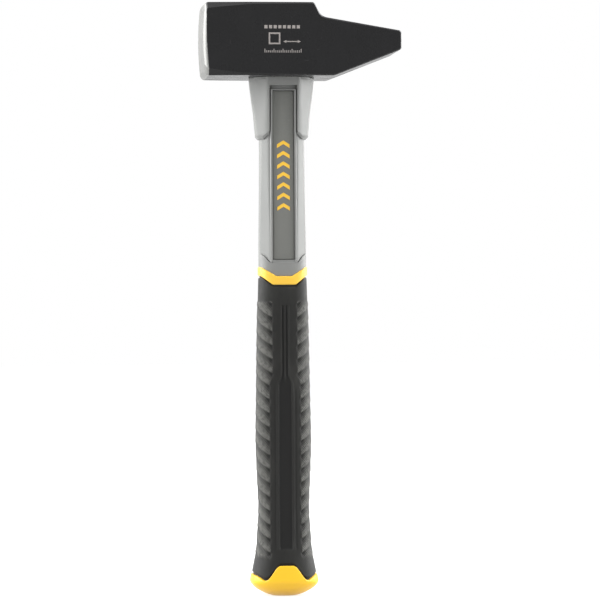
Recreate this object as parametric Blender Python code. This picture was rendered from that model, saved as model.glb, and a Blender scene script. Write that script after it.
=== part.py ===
"""Cross-peen hammer: a forged steel head on a jacketed glass-fibre handle.

Metres, +Z up along the handle, the striking face towards -X and the peen towards +X. The origin is
the middle of the small flat under the butt. Nothing on the hammer moves.
"""

import math

import bmesh
import bpy
from mathutils import Matrix, Vector

MM = 0.001

# Driving dimensions.
OVERALL = 365.5 * MM  # butt flat to the top of the head
FACE_SIDE = 45.0 * MM  # the square striking face, by which this kind of hammer is sold
FACE_REACH = 51.0 * MM  # handle axis to the crown of the striking face
PEEN_REACH = 72.6 * MM  # handle axis to the edge of the peen
FIT_GAP = 0.3 * MM  # clearance between pieces that touch
CUTTER_PAST = 2.0 * MM  # how far a cutter runs past what it cuts

# Head.
HEAD_LOW = OVERALL - FACE_SIDE
HEAD_HALF = FACE_SIDE / 2
HEAD_MIDDLE = HEAD_LOW + HEAD_HALF
FACE_CROWN = 1.3 * MM  # fall of the crowned face from its middle to the middle of a side
CROWN_FADE = 10.0 * MM  # length over which the rim's crown fades out along the head
FACE_EDGE_ROUND = 3.0 * MM
PEEN_EDGE_ROUND = 1.6 * MM
STEP_X = 18.2 * MM  # where the top drops to the peen
STEP_ROOT_X = 22.6 * MM
STEP_DROP = 8.7 * MM
STEP_TOP_ROUND = 2.0 * MM
STEP_ROOT_ROUND = 9.0 * MM
PEEN_TOP_SLOPE = 0.172  # fall per length
PEEN_UNDER_X = 30.7 * MM  # where the underside turns up to the peen
PEEN_UNDER_SLOPE = 0.39
PEEN_UNDER_ROUND = 8.0 * MM

# Legs of the long-edge chamfers, wide at the striking face: (distance along the head, leg).
TOP_CHAMFER = ((-FACE_REACH, 4.3 * MM), (14.0 * MM, 1.3 * MM), (PEEN_REACH, 0.9 * MM))
LOW_CHAMFER = ((-FACE_REACH, 4.5 * MM), (-28.0 * MM, 1.6 * MM), (0.0, 0.9 * MM), (PEEN_REACH, 0.8 * MM))

# Half sizes of the oval sections, across the striking direction and through the handle's thickness.
EYE_LOW = (14.0 * MM, 10.0 * MM)
EYE_WAIST = (13.0 * MM, 9.3 * MM)
EYE_TOP = (14.6 * MM, 10.6 * MM)
CORE = (11.0 * MM, 7.75 * MM)
SPIGOT = (13.2 * MM, 10.2 * MM)  # the jacket's thinner end inside the ring, the grip and the cap
JACKET_LOW = (14.7 * MM, 11.3 * MM)
JACKET_TOP = (14.0 * MM, 10.8 * MM)
GUARD_LOW = (16.2 * MM, 12.8 * MM)
GUARD_TOP = (20.2 * MM, 15.5 * MM)
GASKET = (18.0 * MM, 13.5 * MM)
RING = (15.2 * MM, 12.5 * MM)
OVAL_POWER = 2.3  # exponent of the superellipse: 2 is an ellipse, more is squarer
HANDLE_POWER = 2.7

# Heights along the handle.
SOCKET_FLOOR = 7.0 * MM  # inside the butt cap
HANDLE_TOP = HEAD_LOW - 1.5 * MM  # the shoulder under the head
CORE_TOP = OVERALL - 1.0 * MM
RESIN_TOP = OVERALL - 0.6 * MM
JACKET_TAPER = (205.0 * MM, 280.0 * MM)
GUARD_FOOT = 282.2 * MM
GUARD_FOOT_AT_WINDOW = 285.7 * MM
WINDOW_HALF = 8.6 * MM
WINDOW_TOP = 315.2 * MM
PANEL_LOW = 207.7 * MM
PANEL_TOP = 311.9 * MM
PANEL_HALF = 6.5 * MM
PANEL_FACE = 9.95 * MM  # distance of the inlay's face from the handle axis
PANEL_THICKNESS = 1.2 * MM
PANEL_CORNER = 1.2 * MM

# The grip's ends follow broken lines across the front: (distance from the axis, height).
RING_TOP_LINE = ((5.1 * MM, 197.5 * MM), (15.0 * MM, 203.4 * MM))
RING_LOW_LINE = ((7.2 * MM, 192.2 * MM), (15.0 * MM, 197.9 * MM))
CAP_TOP_LINE = ((6.2 * MM, 19.3 * MM), (12.6 * MM, 10.0 * MM), (19.5 * MM, 13.1 * MM))
GUARD_LOW_LINE = ((WINDOW_HALF, GUARD_FOOT_AT_WINDOW), (13.0 * MM, GUARD_FOOT))

# The grip's swell: (height, half width, half thickness).
GRIP_SWELL = (
    (13.0 * MM, 20.1 * MM, 18.2 * MM),
    (21.3 * MM, 18.5 * MM, 16.9 * MM),
    (27.5 * MM, 17.2 * MM, 15.6 * MM),
    (40.0 * MM, 16.2 * MM, 14.2 * MM),
    (52.4 * MM, 15.5 * MM, 13.4 * MM),
    (71.0 * MM, 16.1 * MM, 13.5 * MM),
    (94.0 * MM, 16.9 * MM, 14.0 * MM),
    (120.6 * MM, 16.5 * MM, 13.8 * MM),
    (164.0 * MM, 15.8 * MM, 13.2 * MM),
    (195.0 * MM, 15.0 * MM, 12.4 * MM),
)
# The butt cap: a domed underside round a small flat, widest a little above it.
BUTT_WIDEST = 9.0 * MM
BUTT_HALF = (21.1 * MM, 19.0 * MM)
BUTT_DOME_POWER = 1.65

COLUMNS = 48  # sides of a lofted section
ROWS = 12  # steps along a lofted surface
ARC_STEPS = 6  # segments in a rounded corner
CROWN_STEPS = 5
SETTLING_ROUNDS = 4  # passes that bring a ring on the swell to its line
LOWEST_DOME_STEP = 0.12  # share of the dome's height where its flat begins


def clear_scene():
    for found in list(bpy.data.objects):
        bpy.data.objects.remove(found)


def new_collection(name):
    collection = bpy.data.collections.new(name)
    bpy.context.scene.collection.children.link(collection)
    return collection


def linear(*channels):
    """A colour read from a screen, 0 to 255, as the linear RGBA that a shader takes."""
    shares = [channel / 255 for channel in channels]
    return [s / 12.92 if s <= 0.04045 else ((s + 0.055) / 1.055) ** 2.4 for s in shares] + [1.0]


def material(name, colour, roughness, metallic=0.0):
    made = bpy.data.materials.new(name)
    made.use_nodes = True
    shader = made.node_tree.nodes["Principled BSDF"]
    shader.inputs["Base Color"].default_value = colour
    shader.inputs["Roughness"].default_value = roughness
    shader.inputs["Metallic"].default_value = metallic
    return made


def add_mesh(name, mesh, collection):
    placed = bpy.data.objects.new(name, mesh)
    collection.objects.link(placed)
    return placed


def finish(piece, finish_material):
    piece.data.materials.append(finish_material)
    piece.data.shade_smooth()
    piece.data.set_sharp_from_angle(angle=math.radians(30))


def blended(low, high, share):
    return low + (high - low) * share


def along(line, distance):
    """Height of a broken line at a distance, level before its first point and past its last."""
    if distance <= line[0][0]:
        return line[0][1]
    for (near, start), (far, end) in zip(line, line[1:]):
        if distance <= far:
            return blended(start, end, (distance - near) / (far - near))
    return line[-1][1]


def oval_point(half_sizes, column, power):
    """Where a column stands on a superellipse, anticlockwise from +X."""
    angle = 2 * math.pi * column / COLUMNS
    across = math.copysign(abs(math.cos(angle)) ** (2 / power), math.cos(angle))
    through = math.copysign(abs(math.sin(angle)) ** (2 / power), math.sin(angle))
    return across * half_sizes[0], through * half_sizes[1]


def section(half_sizes, height, power=OVAL_POWER):
    """One closed superellipse at a height."""
    return [Vector((*oval_point(half_sizes, column, power), height)) for column in range(COLUMNS)]


def edge_section(half_sizes, line, power=OVAL_POWER, gap=0.0):
    """A superellipse whose height follows a broken line, as the end of a sleeve does."""
    ring = section(half_sizes, 0.0, power)
    for point in ring:
        point.z = along(line, abs(point.x)) + gap
    return ring


def grown(half_sizes, margin):
    return tuple(half + margin for half in half_sizes)


def loft(name, sections, collection, loop=False):
    """Skins sections that climb the outside and, for a hollow piece, come back down the inside.

    With loop, the last section joins the first; otherwise both ends are capped.
    """
    mesh = bmesh.new()
    rings = [[mesh.verts.new(point) for point in ring] for ring in sections]
    pairs = list(zip(rings, rings[1:]))
    if loop:
        pairs.append((rings[-1], rings[0]))
    else:
        mesh.faces.new(reversed(rings[0]))
        mesh.faces.new(rings[-1])
    for lower, upper in pairs:
        for column in range(len(lower)):
            following = (column + 1) % len(lower)
            mesh.faces.new((lower[column], lower[following], upper[following], upper[column]))
    # The same split on both sides of a slanting joint keeps its gap even.
    quads = [face for face in mesh.faces if len(face.verts) == 4]
    bmesh.ops.triangulate(mesh, faces=quads, quad_method="SHORT_EDGE")
    data = bpy.data.meshes.new(name)
    mesh.to_mesh(data)
    mesh.free()
    return add_mesh(name, data, collection)


def rounded_outline(corners):
    """Closed outline from (across, up, radius) corners, each turned into an arc of its radius."""
    outline = []
    for index, (across, up, radius) in enumerate(corners):
        corner = Vector((across, up))
        if radius == 0:
            outline.append(corner)
            continue
        before = (Vector(corners[index - 1][:2]) - corner).normalized()
        after = (Vector(corners[(index + 1) % len(corners)][:2]) - corner).normalized()
        half_angle = before.angle(after) / 2
        centre = corner + (before + after).normalized() * radius / math.sin(half_angle)
        start = corner + before * radius / math.tan(half_angle) - centre
        end = corner + after * radius / math.tan(half_angle) - centre
        sweep = start.angle_signed(end)
        for step in range(ARC_STEPS + 1):
            outline.append(centre + Matrix.Rotation(-sweep * step / ARC_STEPS, 2) @ start)
    return outline


def prism(name, outline, half_depth, turn, collection):
    """A flat outline given thickness both ways, as a mesh that Booleans can use."""
    curve = bpy.data.curves.new(name, "CURVE")
    curve.dimensions = "2D"
    curve.fill_mode = "BOTH"
    curve.extrude = half_depth
    spline = curve.splines.new("POLY")
    spline.points.add(len(outline) - 1)
    for point, place in zip(spline.points, outline):
        point.co = (place.x, place.y, 0.0, 1.0)
    spline.use_cyclic_u = True
    guide = bpy.data.objects.new(name, curve)
    guide.matrix_world = turn
    collection.objects.link(guide)
    bpy.context.view_layer.update()
    graph = bpy.context.evaluated_depsgraph_get()
    data = bpy.data.meshes.new_from_object(guide.evaluated_get(graph))
    bpy.data.objects.remove(guide)
    welded = bmesh.new()
    welded.from_mesh(data)
    bmesh.ops.remove_doubles(welded, verts=welded.verts, dist=0.001 * MM)
    bmesh.ops.recalc_face_normals(welded, faces=welded.faces)
    welded.to_mesh(data)
    welded.free()
    made = add_mesh(name, data, collection)
    made.matrix_world = turn
    return made


def box(name, low, high, collection):
    cube = bmesh.new()
    bmesh.ops.create_cube(cube, size=1.0)
    span = Vector(high) - Vector(low)
    bmesh.ops.scale(cube, vec=span, verts=cube.verts)
    bmesh.ops.translate(cube, vec=Vector(low) + span / 2, verts=cube.verts)
    data = bpy.data.meshes.new(name)
    cube.to_mesh(data)
    cube.free()
    return add_mesh(name, data, collection)


def combine(piece, tool, operation):
    """Cuts piece with tool, or keeps what they share, and hides the tool from renders."""
    boolean = piece.modifiers.new(tool.name, "BOOLEAN")
    boolean.operation = operation
    boolean.object = tool
    boolean.solver = "EXACT"
    tool.hide_render = True
    tool.display_type = "WIRE"


def top_line():
    """The head's top in (distance, height) from the face to the peen: level, the step, then a slope."""
    root_height = OVERALL - STEP_DROP
    tip_height = root_height - PEEN_TOP_SLOPE * (PEEN_REACH - STEP_ROOT_X)
    return rounded_outline(
        [
            (-FACE_REACH, OVERALL, 0),
            (STEP_X, OVERALL, STEP_TOP_ROUND),
            (STEP_ROOT_X, root_height, STEP_ROOT_ROUND),
            (PEEN_REACH, tip_height, 0),
        ]
    )


def low_line():
    """The head's underside: level, then rising to the peen."""
    tip_height = HEAD_LOW + PEEN_UNDER_SLOPE * (PEEN_REACH - PEEN_UNDER_X)
    return rounded_outline(
        [
            (-FACE_REACH, HEAD_LOW, 0),
            (PEEN_UNDER_X, HEAD_LOW, PEEN_UNDER_ROUND),
            (PEEN_REACH, tip_height, 0),
        ]
    )


def rounded_end(reach, radius):
    """(distance from the end, inset) pairs of a rounded end edge, from the end inwards."""
    angles = [math.radians(90) * (1 - step / ARC_STEPS) for step in range(ARC_STEPS + 1)]
    return [(reach - radius * (1 - math.sin(angle)), radius * (1 - math.cos(angle))) for angle in angles]


def head_section(distance, inset, top, low):
    """The head's outline square to its length: a rectangle with its four corners chamfered."""
    half = HEAD_HALF - inset
    high = along(top, distance) - inset
    base = along(low, distance) + inset
    cut_top = along(TOP_CHAMFER, distance)
    cut_low = along(LOW_CHAMFER, distance)
    outline = [
        (half, base + cut_low),
        (half, high - cut_top),
        (half - cut_top, high),
        (cut_top - half, high),
        (-half, high - cut_top),
        (-half, base + cut_low),
        (cut_low - half, base),
        (half - cut_low, base),
    ]
    fade = max(0.0, 1 - (distance + FACE_REACH) / CROWN_FADE)
    return [Vector((distance + fade * crown(across, up), across, up)) for across, up in outline]


def crown(across, up):
    """How far the crowned face falls back at a place, from its middle."""
    return FACE_CROWN * (across**2 + (up - HEAD_MIDDLE) ** 2) / HEAD_HALF**2


def hammer_head(parts, cutters):
    top = top_line()
    low = low_line()
    face_end = [(-place, inset) for place, inset in rounded_end(FACE_REACH, FACE_EDGE_ROUND)]
    peen_end = rounded_end(PEEN_REACH, PEEN_EDGE_ROUND)
    middle_start = face_end[-1][0]
    middle_end = peen_end[-1][0]
    bends = sorted({round(place, 6) for place, _ in [*top, *low, *TOP_CHAMFER, *LOW_CHAMFER]})
    stations = [(place, 0.0) for place in bends if middle_start < place < middle_end]
    stations = face_end + stations + peen_end[::-1]
    sections = [head_section(place, inset, top, low) for place, inset in stations]
    rim = sections[0]
    centre = Vector((0, 0, HEAD_MIDDLE))
    face = []
    for step in range(1, CROWN_STEPS):
        share = step / CROWN_STEPS
        ring = [centre.lerp(Vector((0, point.y, point.z)), share) for point in rim]
        face.append([Vector((crown(point.y, point.z) - FACE_REACH, point.y, point.z)) for point in ring])
    head = loft("hammer_head", face + sections, parts)
    eye_sections = [
        section(EYE_LOW, HEAD_LOW - CUTTER_PAST),
        section(EYE_LOW, HEAD_LOW),
        section(EYE_WAIST, HEAD_MIDDLE),
        section(EYE_TOP, OVERALL),
        section(EYE_TOP, OVERALL + CUTTER_PAST),
    ]
    combine(head, loft("head_eye", eye_sections, cutters), "DIFFERENCE")
    finish(head, material("forged_steel", linear(50, 50, 51), 0.42, 0.3))


def eye_resin(parts):
    """The cast sleeve that fills the eye round the core, waisted so that it can't slip either way."""
    low = HEAD_LOW + FIT_GAP
    sections = [
        section(grown(EYE_LOW, -FIT_GAP), low),
        section(grown(EYE_WAIST, -FIT_GAP), HEAD_MIDDLE),
        section(grown(EYE_TOP, -FIT_GAP), RESIN_TOP),
        section(grown(CORE, FIT_GAP), RESIN_TOP),
        section(grown(CORE, FIT_GAP), low),
    ]
    resin = loft("eye_resin", sections, parts, loop=True)
    finish(resin, material("cast_epoxy", linear(58, 57, 54), 0.3))


def eye_gasket(parts):
    """The soft washer under the head, which keeps the resin in while it is cast."""
    low = HANDLE_TOP + FIT_GAP
    high = HEAD_LOW - FIT_GAP
    sections = [
        section(GASKET, low),
        section(GASKET, high),
        section(grown(CORE, FIT_GAP), high),
        section(grown(CORE, FIT_GAP), low),
    ]
    gasket = loft("eye_gasket", sections, parts, loop=True)
    finish(gasket, material("gasket_rubber", linear(30, 30, 30), 0.8))


def fibre_core(parts):
    sections = [section(CORE, SOCKET_FLOOR + FIT_GAP), section(CORE, CORE_TOP)]
    finish(loft("fibre_core", sections, parts), material("glass_fibre", linear(214, 205, 172), 0.5))


def handle_jacket(parts, cutters):
    """The moulded shell round the core, with a pocket front and back for the inlays."""
    low = SOCKET_FLOOR + FIT_GAP
    sections = [
        section(SPIGOT, low, HANDLE_POWER),
        edge_section(SPIGOT, RING_TOP_LINE, HANDLE_POWER, FIT_GAP),
        edge_section(JACKET_LOW, RING_TOP_LINE, HANDLE_POWER, FIT_GAP),
        section(JACKET_LOW, JACKET_TAPER[0], HANDLE_POWER),
        section(JACKET_TOP, JACKET_TAPER[1], HANDLE_POWER),
        section(JACKET_TOP, HANDLE_TOP, HANDLE_POWER),
        section(grown(CORE, FIT_GAP), HANDLE_TOP),
        section(grown(CORE, FIT_GAP), low),
    ]
    jacket = loft("handle_jacket", sections, parts, loop=True)
    floor = PANEL_FACE - PANEL_THICKNESS - FIT_GAP
    past = JACKET_LOW[1] + CUTTER_PAST
    reach = PANEL_HALF + FIT_GAP
    for name, side in (("front", -1), ("back", 1)):
        low_y, high_y = sorted((side * floor, side * past))
        pocket = box(
            f"pocket_{name}",
            (-reach, low_y, PANEL_LOW - FIT_GAP),
            (reach, high_y, PANEL_TOP + FIT_GAP),
            cutters,
        )
        combine(jacket, pocket, "DIFFERENCE")
    finish(jacket, material("grey_jacket", linear(172, 172, 170), 0.45))


def overstrike_guard(parts, cutters):
    """The flared collar under the head, open front and back over the inlays."""
    bore = grown(JACKET_TOP, FIT_GAP)
    sections = [
        edge_section(GUARD_LOW, GUARD_LOW_LINE, HANDLE_POWER),
        section(GUARD_TOP, HANDLE_TOP, HANDLE_POWER),
        section(bore, HANDLE_TOP, HANDLE_POWER),
        edge_section(bore, GUARD_LOW_LINE, HANDLE_POWER),
    ]
    guard = loft("overstrike_guard", sections, parts, loop=True)
    far = 2 * GUARD_TOP[1]
    under = GUARD_FOOT - CUTTER_PAST
    for name, side in (("front", -1), ("back", 1)):
        low_y, high_y = sorted((0.0, side * far))
        window = box(
            f"window_{name}",
            (-WINDOW_HALF, low_y, under),
            (WINDOW_HALF, high_y, WINDOW_TOP),
            cutters,
        )
        combine(guard, window, "DIFFERENCE")
    finish(guard, material("grey_guard", linear(180, 180, 176), 0.45))


def panels(parts):
    """The two dark inlays, front and back."""
    height = (PANEL_TOP - PANEL_LOW) / 2
    corners = [
        (-PANEL_HALF, -height, PANEL_CORNER),
        (PANEL_HALF, -height, PANEL_CORNER),
        (PANEL_HALF, height, PANEL_CORNER),
        (-PANEL_HALF, height, PANEL_CORNER),
    ]
    inlay = material("dark_inlay", linear(120, 121, 122), 0.5)
    depth = PANEL_FACE - PANEL_THICKNESS / 2
    for name, side in (("panel_front", -1), ("panel_back", 1)):
        place = Matrix.Translation((0, side * depth, PANEL_LOW + height))
        turn = place @ Matrix.Rotation(math.radians(90), 4, "X")
        finish(prism(name, rounded_outline(corners), PANEL_THICKNESS / 2, turn, parts), inlay)


def grip_ring(parts):
    bore = grown(SPIGOT, FIT_GAP)
    sections = [
        edge_section(RING, RING_LOW_LINE, HANDLE_POWER),
        edge_section(RING, RING_TOP_LINE, HANDLE_POWER),
        edge_section(bore, RING_TOP_LINE, HANDLE_POWER),
        edge_section(bore, RING_LOW_LINE, HANDLE_POWER),
    ]
    ring = loft("grip_ring", sections, parts, loop=True)
    finish(ring, material("yellow_plastic", linear(250, 205, 52), 0.4))


def swell(height):
    """Half sizes of the grip's outside at a height, from the table of its swell."""
    widths = [(level, across) for level, across, _ in GRIP_SWELL]
    depths = [(level, through) for level, _, through in GRIP_SWELL]
    return along(widths, height), along(depths, height)


def swell_ring(heights):
    """A ring on the grip's outside, with a height for each column."""
    points = []
    for column, height in enumerate(heights):
        points.append(Vector((*oval_point(swell(height), column, HANDLE_POWER), height)))
    return points


def swell_edge(line, gap=0.0):
    """Column heights at which the grip's outside meets a broken line seen from the front."""
    heights = [line[0][1]] * COLUMNS
    for _ in range(SETTLING_ROUNDS):
        heights = [along(line, abs(point.x)) + gap for point in swell_ring(heights)]
    return heights


def rubber_grip(parts):
    """The thick rubber sleeve from the ring down to the butt cap."""
    lowest = swell_edge(CAP_TOP_LINE, FIT_GAP)
    highest = swell_edge(RING_LOW_LINE, -FIT_GAP)
    sections = []
    for row in range(ROWS + 1):
        heights = [blended(low, high, row / ROWS) for low, high in zip(lowest, highest)]
        sections.append(swell_ring(heights))
    bore = grown(SPIGOT, FIT_GAP)
    sections.append(edge_section(bore, RING_LOW_LINE, HANDLE_POWER, -FIT_GAP))
    sections.append(edge_section(bore, CAP_TOP_LINE, HANDLE_POWER, FIT_GAP))
    grip = loft("rubber_grip", sections, parts, loop=True)
    finish(grip, material("black_rubber", linear(58, 58, 57), 0.65))


def butt_cap(parts):
    """The hard cap that closes the handle, with a tongue front and back over the rubber's end."""
    sections = []
    for step in range(ROWS + 1):
        share = blended(LOWEST_DOME_STEP, 1.0, step / ROWS)
        spread = (1 - (1 - share) ** BUTT_DOME_POWER) ** (1 / BUTT_DOME_POWER)
        height = BUTT_WIDEST * step / ROWS
        half_sizes = (BUTT_HALF[0] * spread, BUTT_HALF[1] * spread)
        sections.append(section(half_sizes, height, HANDLE_POWER))
    bore = grown(SPIGOT, FIT_GAP)
    sections.append(swell_ring(swell_edge(CAP_TOP_LINE)))
    sections.append(edge_section(bore, CAP_TOP_LINE, HANDLE_POWER))
    sections.append(section(bore, SOCKET_FLOOR, HANDLE_POWER))
    finish(loft("butt_cap", sections, parts), material("yellow_butt", linear(250, 204, 48), 0.4))


def main():
    clear_scene()
    parts = new_collection("cross_peen_hammer")
    cutters = new_collection("cutters")
    hammer_head(parts, cutters)
    eye_resin(parts)
    eye_gasket(parts)
    fibre_core(parts)
    handle_jacket(parts, cutters)
    overstrike_guard(parts, cutters)
    panels(parts)
    grip_ring(parts)
    rubber_grip(parts)
    butt_cap(parts)


main()
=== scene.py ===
"""Cross-peen hammer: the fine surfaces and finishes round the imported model.

Laid out as a Blender add-on and run as a script. Everything is in metres, with +Z up the handle to
the head, the striking face towards -X and the peen towards +X.
"""

import math

import bmesh
import bpy
import numpy as np
from bpy.props import FloatProperty, FloatVectorProperty, PointerProperty
from mathutils import Matrix, Vector


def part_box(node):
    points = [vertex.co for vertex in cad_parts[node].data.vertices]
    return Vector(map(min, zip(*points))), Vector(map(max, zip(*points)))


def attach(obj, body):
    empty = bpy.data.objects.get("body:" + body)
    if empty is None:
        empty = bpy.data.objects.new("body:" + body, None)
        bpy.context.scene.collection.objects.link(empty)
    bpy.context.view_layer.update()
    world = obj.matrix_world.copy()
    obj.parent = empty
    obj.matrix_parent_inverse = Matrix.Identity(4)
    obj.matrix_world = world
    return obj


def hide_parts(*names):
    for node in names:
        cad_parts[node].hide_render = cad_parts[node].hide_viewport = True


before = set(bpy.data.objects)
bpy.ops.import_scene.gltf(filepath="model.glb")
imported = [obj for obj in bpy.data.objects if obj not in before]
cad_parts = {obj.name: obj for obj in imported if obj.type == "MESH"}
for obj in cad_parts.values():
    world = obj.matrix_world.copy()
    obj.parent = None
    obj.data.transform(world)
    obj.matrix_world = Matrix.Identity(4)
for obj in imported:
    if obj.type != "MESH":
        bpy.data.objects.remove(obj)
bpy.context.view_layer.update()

bl_info = {
    "name": "Cross-Peen Hammer",
    "version": (1, 0, 0),
    "blender": (4, 5, 0),
    "location": "View3D > Sidebar > Hammer",
    "description": "Builds the fine surfaces and finishes of a cross-peen hammer",
    "category": "Add Mesh",
}

MM = 0.001
BODY = "root"


def mm(*sizes):
    """Millimetres as metres, for a row of sizes or for a table of rows."""
    return tuple(mm(*size) if isinstance(size, tuple) else size * MM for size in sizes)


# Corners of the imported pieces, which give most sizes.
HEAD_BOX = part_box("hammer_head")
JACKET_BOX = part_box("handle_jacket")
PANEL_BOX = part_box("panel_front")
RING_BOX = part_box("grip_ring")
GASKET_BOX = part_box("eye_gasket")
CORE_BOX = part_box("fibre_core")
BUTT_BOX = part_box("butt_cap")

FIT_GAP = 0.3 * MM
OVERALL = HEAD_BOX[1].z
HEAD_LOW = HEAD_BOX[0].z
HEAD_HALF = HEAD_BOX[1].y
HEAD_MIDDLE = (OVERALL + HEAD_LOW) / 2
FACE_REACH = -HEAD_BOX[0].x
PEEN_REACH = HEAD_BOX[1].x
HANDLE_TOP = JACKET_BOX[1].z

# Head.
FACE_CROWN = 1.3 * MM
CROWN_FADE = 10.0 * MM
FACE_EDGE_ROUND = 3.0 * MM
PEEN_EDGE_ROUND = 1.6 * MM
STEP_X = 18.4 * MM
STEP_ROOT_X = 22.7 * MM
STEP_DROP = 8.7 * MM
STEP_TOP_ROUND = 2.0 * MM
STEP_ROOT_ROUND = 7.5 * MM
PEEN_TOP_SLOPE = 0.172
PEEN_UNDER_X = 30.7 * MM
PEEN_UNDER_SLOPE = 0.39
PEEN_UNDER_ROUND = 8.0 * MM
# Chamfers along the head's edges: (distance along the head, size).
TOP_CHAMFER = (
    (-FACE_REACH, 4.3 * MM),
    *mm((-20.0, 1.5), (14.0, 1.0), (20.6, 1.3), (27.0, 1.0)),
    (PEEN_REACH, 0.9 * MM),
)
LOW_CHAMFER = ((-FACE_REACH, 4.5 * MM), *mm((-28.0, 1.6), (0.0, 0.7)), (PEEN_REACH, 0.7 * MM))
CHAMFER_SOFTNESS = 0.5 * MM  # radius along both edges of a chamfer
# Runs of rings along the head: (from, to, step), in mm.
HEAD_RUNS = ((-47.5, 16.0, 2.0), (16.5, 30.0, 0.3), (26.0, 36.0, 0.5), (37.0, 70.5, 2.0))

# Eye, and what fills it.
EYE_LOW = mm(14.0, 10.0)
EYE_WAIST = mm(13.0, 9.3)
EYE_TOP = mm(14.6, 10.6)
EYE_MOUTH_ROUND = 0.8 * MM
EYE_STEPS = 24
CUTTER_PAST = 2.0 * MM  # how far the solid that cuts the eye stands out past the head
CAST_GAP = 0.05 * MM
RESIN_SUNK = 0.5 * MM
RESIN_SAG = 0.55 * MM
CORE_PROUD = 0.35 * MM  # how far the sawn core shows past its packed end
CORE_EDGE_ROUND = 0.3 * MM
WASHER_BULGE = 0.15 * MM

# Handle. A pair of sizes is half a width and half a thickness.
CORE = (CORE_BOX[1].x, CORE_BOX[1].y)
SPIGOT = mm(13.2, 10.2)
BORE_GAP = 0.1 * MM
JACKET_LOW = (JACKET_BOX[1].x, JACKET_BOX[1].y)
JACKET_TOP = mm(14.0, 10.8)
JACKET_TAPER = mm(205.0, 280.0)
JACKET_STEPS = 20
JACKET_COLUMNS = mm(0.0, 2.0, 4.0, 5.6, 6.4, 6.72, 6.78, 7.0, 7.4, 7.75, 7.9, 8.1, 8.4, 8.6, 8.9, 9.4)
RING = (RING_BOX[1].x, RING_BOX[1].y)
RING_STEPS = 44
GASKET = (GASKET_BOX[1].x, GASKET_BOX[1].y)
OVAL_POWER = 2.3  # exponent of the superellipse: 2 is an ellipse, more is squarer
HANDLE_POWER = 2.7
SOCKET_FLOOR = 7.0 * MM

# Lines where pieces meet: (distance across, height).
RING_TOP_LINE = mm((5.1, 197.5), (15.0, 203.4))
RING_LOW_LINE = mm((7.2, 192.2), (15.0, 197.9))
CAP_TOP_LINE = mm((6.2, 19.3), (12.6, 9.5), (19.5, 13.1))
COLLAR_LINE = mm((8.9, 206.2), (12.0, 209.7), (14.7, 211.6))
RING_SOFTNESS = 0.4 * MM  # how far from its corners a joint's line is rounded
CAP_SOFTNESS = 1.8 * MM

# The guard's flare: (height, half width, half thickness).
GUARD_FLARE = mm(
    (282.0, 16.2, 12.8),
    (290.0, 16.85, 13.15),
    (297.0, 17.45, 13.5),
    (302.0, 18.05, 13.9),
    (307.0, 18.75, 14.4),
    (312.0, 19.4, 14.9),
    (319.0, 20.2, 15.5),
)
WINDOW_HALF = 8.6 * MM
WINDOW_TOP = 315.2 * MM
GUARD_LOW_LINE = ((WINDOW_HALF, 285.7 * MM), (13.0 * MM, 282.2 * MM))
GUARD_EDGE_ROUND = 0.55 * MM
GUARD_STEPS = 22
GUARD_COLUMNS = (0.0, 3.0 * MM, 6.0 * MM, WINDOW_HALF, *mm(8.9, 9.4, 10.2, 11.2))
GUARD_FRONT = mm((285.0, 12.1), (319.0, 13.6))  # how far its flat front stands out: (height, distance)
GUARD_FRONT_SOFTNESS = 0.3 * MM
GUARD_FACET_START = 9.9 * MM  # where the flank's plane starts across the guard
GUARD_FACET_SLOPE = 1.1
GUARD_FACET_SOFTNESS = 1.3 * MM
GUARD_FOOT_CHAMFER = mm(1.5, 1.3)  # height, depth
GUARD_TOP = HEAD_LOW - 0.15 * MM
GUARD_BORE = mm(14.12, 10.92)
GUARD_RECESS = mm(18.2, 13.7)  # round the washer

# The raised frame round the inlay, and the collar that the frame stands on.
POCKET_HALF = 6.72 * MM
POCKET_FLOOR = 8.45 * MM
POCKET_GAP = 0.12 * MM
POCKET_WALL = 0.06 * MM
FRAME_FLAT = 7.75 * MM  # how far across the frame stays at its full height
FRAME_FOOT = 8.4 * MM
FRAME_FACE = mm((205.0, 10.9), (275.0, 11.0), (290.0, 11.9), (312.0, 12.8))
FRAME_TOP = mm(312.55, 312.95)
FRAME_SUNK = 0.15 * MM  # how far the frame's foot lies under the jacket's own surface
JACKET_FACET = (mm(9.3, 9.55), 1.1, 0.45 * MM)  # where the flank's plane starts, its slope and softness
COLLAR_GROOVE = 0.6 * MM
COLLAR_SETTLE = 222.0 * MM
# Rows across the collar's groove: (mm past the collar's line, share of the groove's depth).
COLLAR_ROWS = (
    (-0.45, 0.0),
    (-0.3, 0.02),
    (-0.16, 0.12),
    (-0.08, 0.9),
    (0.05, 1.0),
    (0.3, 1.0),
    (0.5, 0.35),
    (0.75, 0.0),
)
HAIR = 0.01 * MM  # a width under which two places count as one

# The grip's swell: (height, half width, half thickness).
GRIP_SWELL = mm(
    (13.0, 20.1, 18.2),
    (21.3, 18.5, 16.9),
    (27.5, 17.2, 15.6),
    (40.0, 16.2, 14.2),
    (52.4, 15.5, 13.4),
    (71.0, 16.1, 13.5),
    (94.0, 16.9, 14.0),
    (120.6, 16.5, 13.8),
    (164.0, 15.8, 13.2),
    (195.0, 15.0, 12.4),
)
GRIP_STEPS = 37
GRIP_COLUMNS = np.arange(0, 6.61, 0.3) * MM
GRIP_ROWS = 386
GRIP_END_ROUND = 1.0 * MM
GRIP_NECK = 1.0 * MM  # height of the groove at either end of the rubber
GRIP_PROUD = -0.05 * MM  # how far the rubber between the scales stands out past its packed width
BUTT_HALF = (BUTT_BOX[1].x, BUTT_BOX[1].y)
BUTT_WIDEST = 9.0 * MM
BUTT_DOME_POWER = 1.65
LOWEST_DOME_STEP = 0.12
CAP_STEPS = 56
CAP_PROUD = 0.35 * MM  # how far the cap stands out past the rubber

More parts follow.
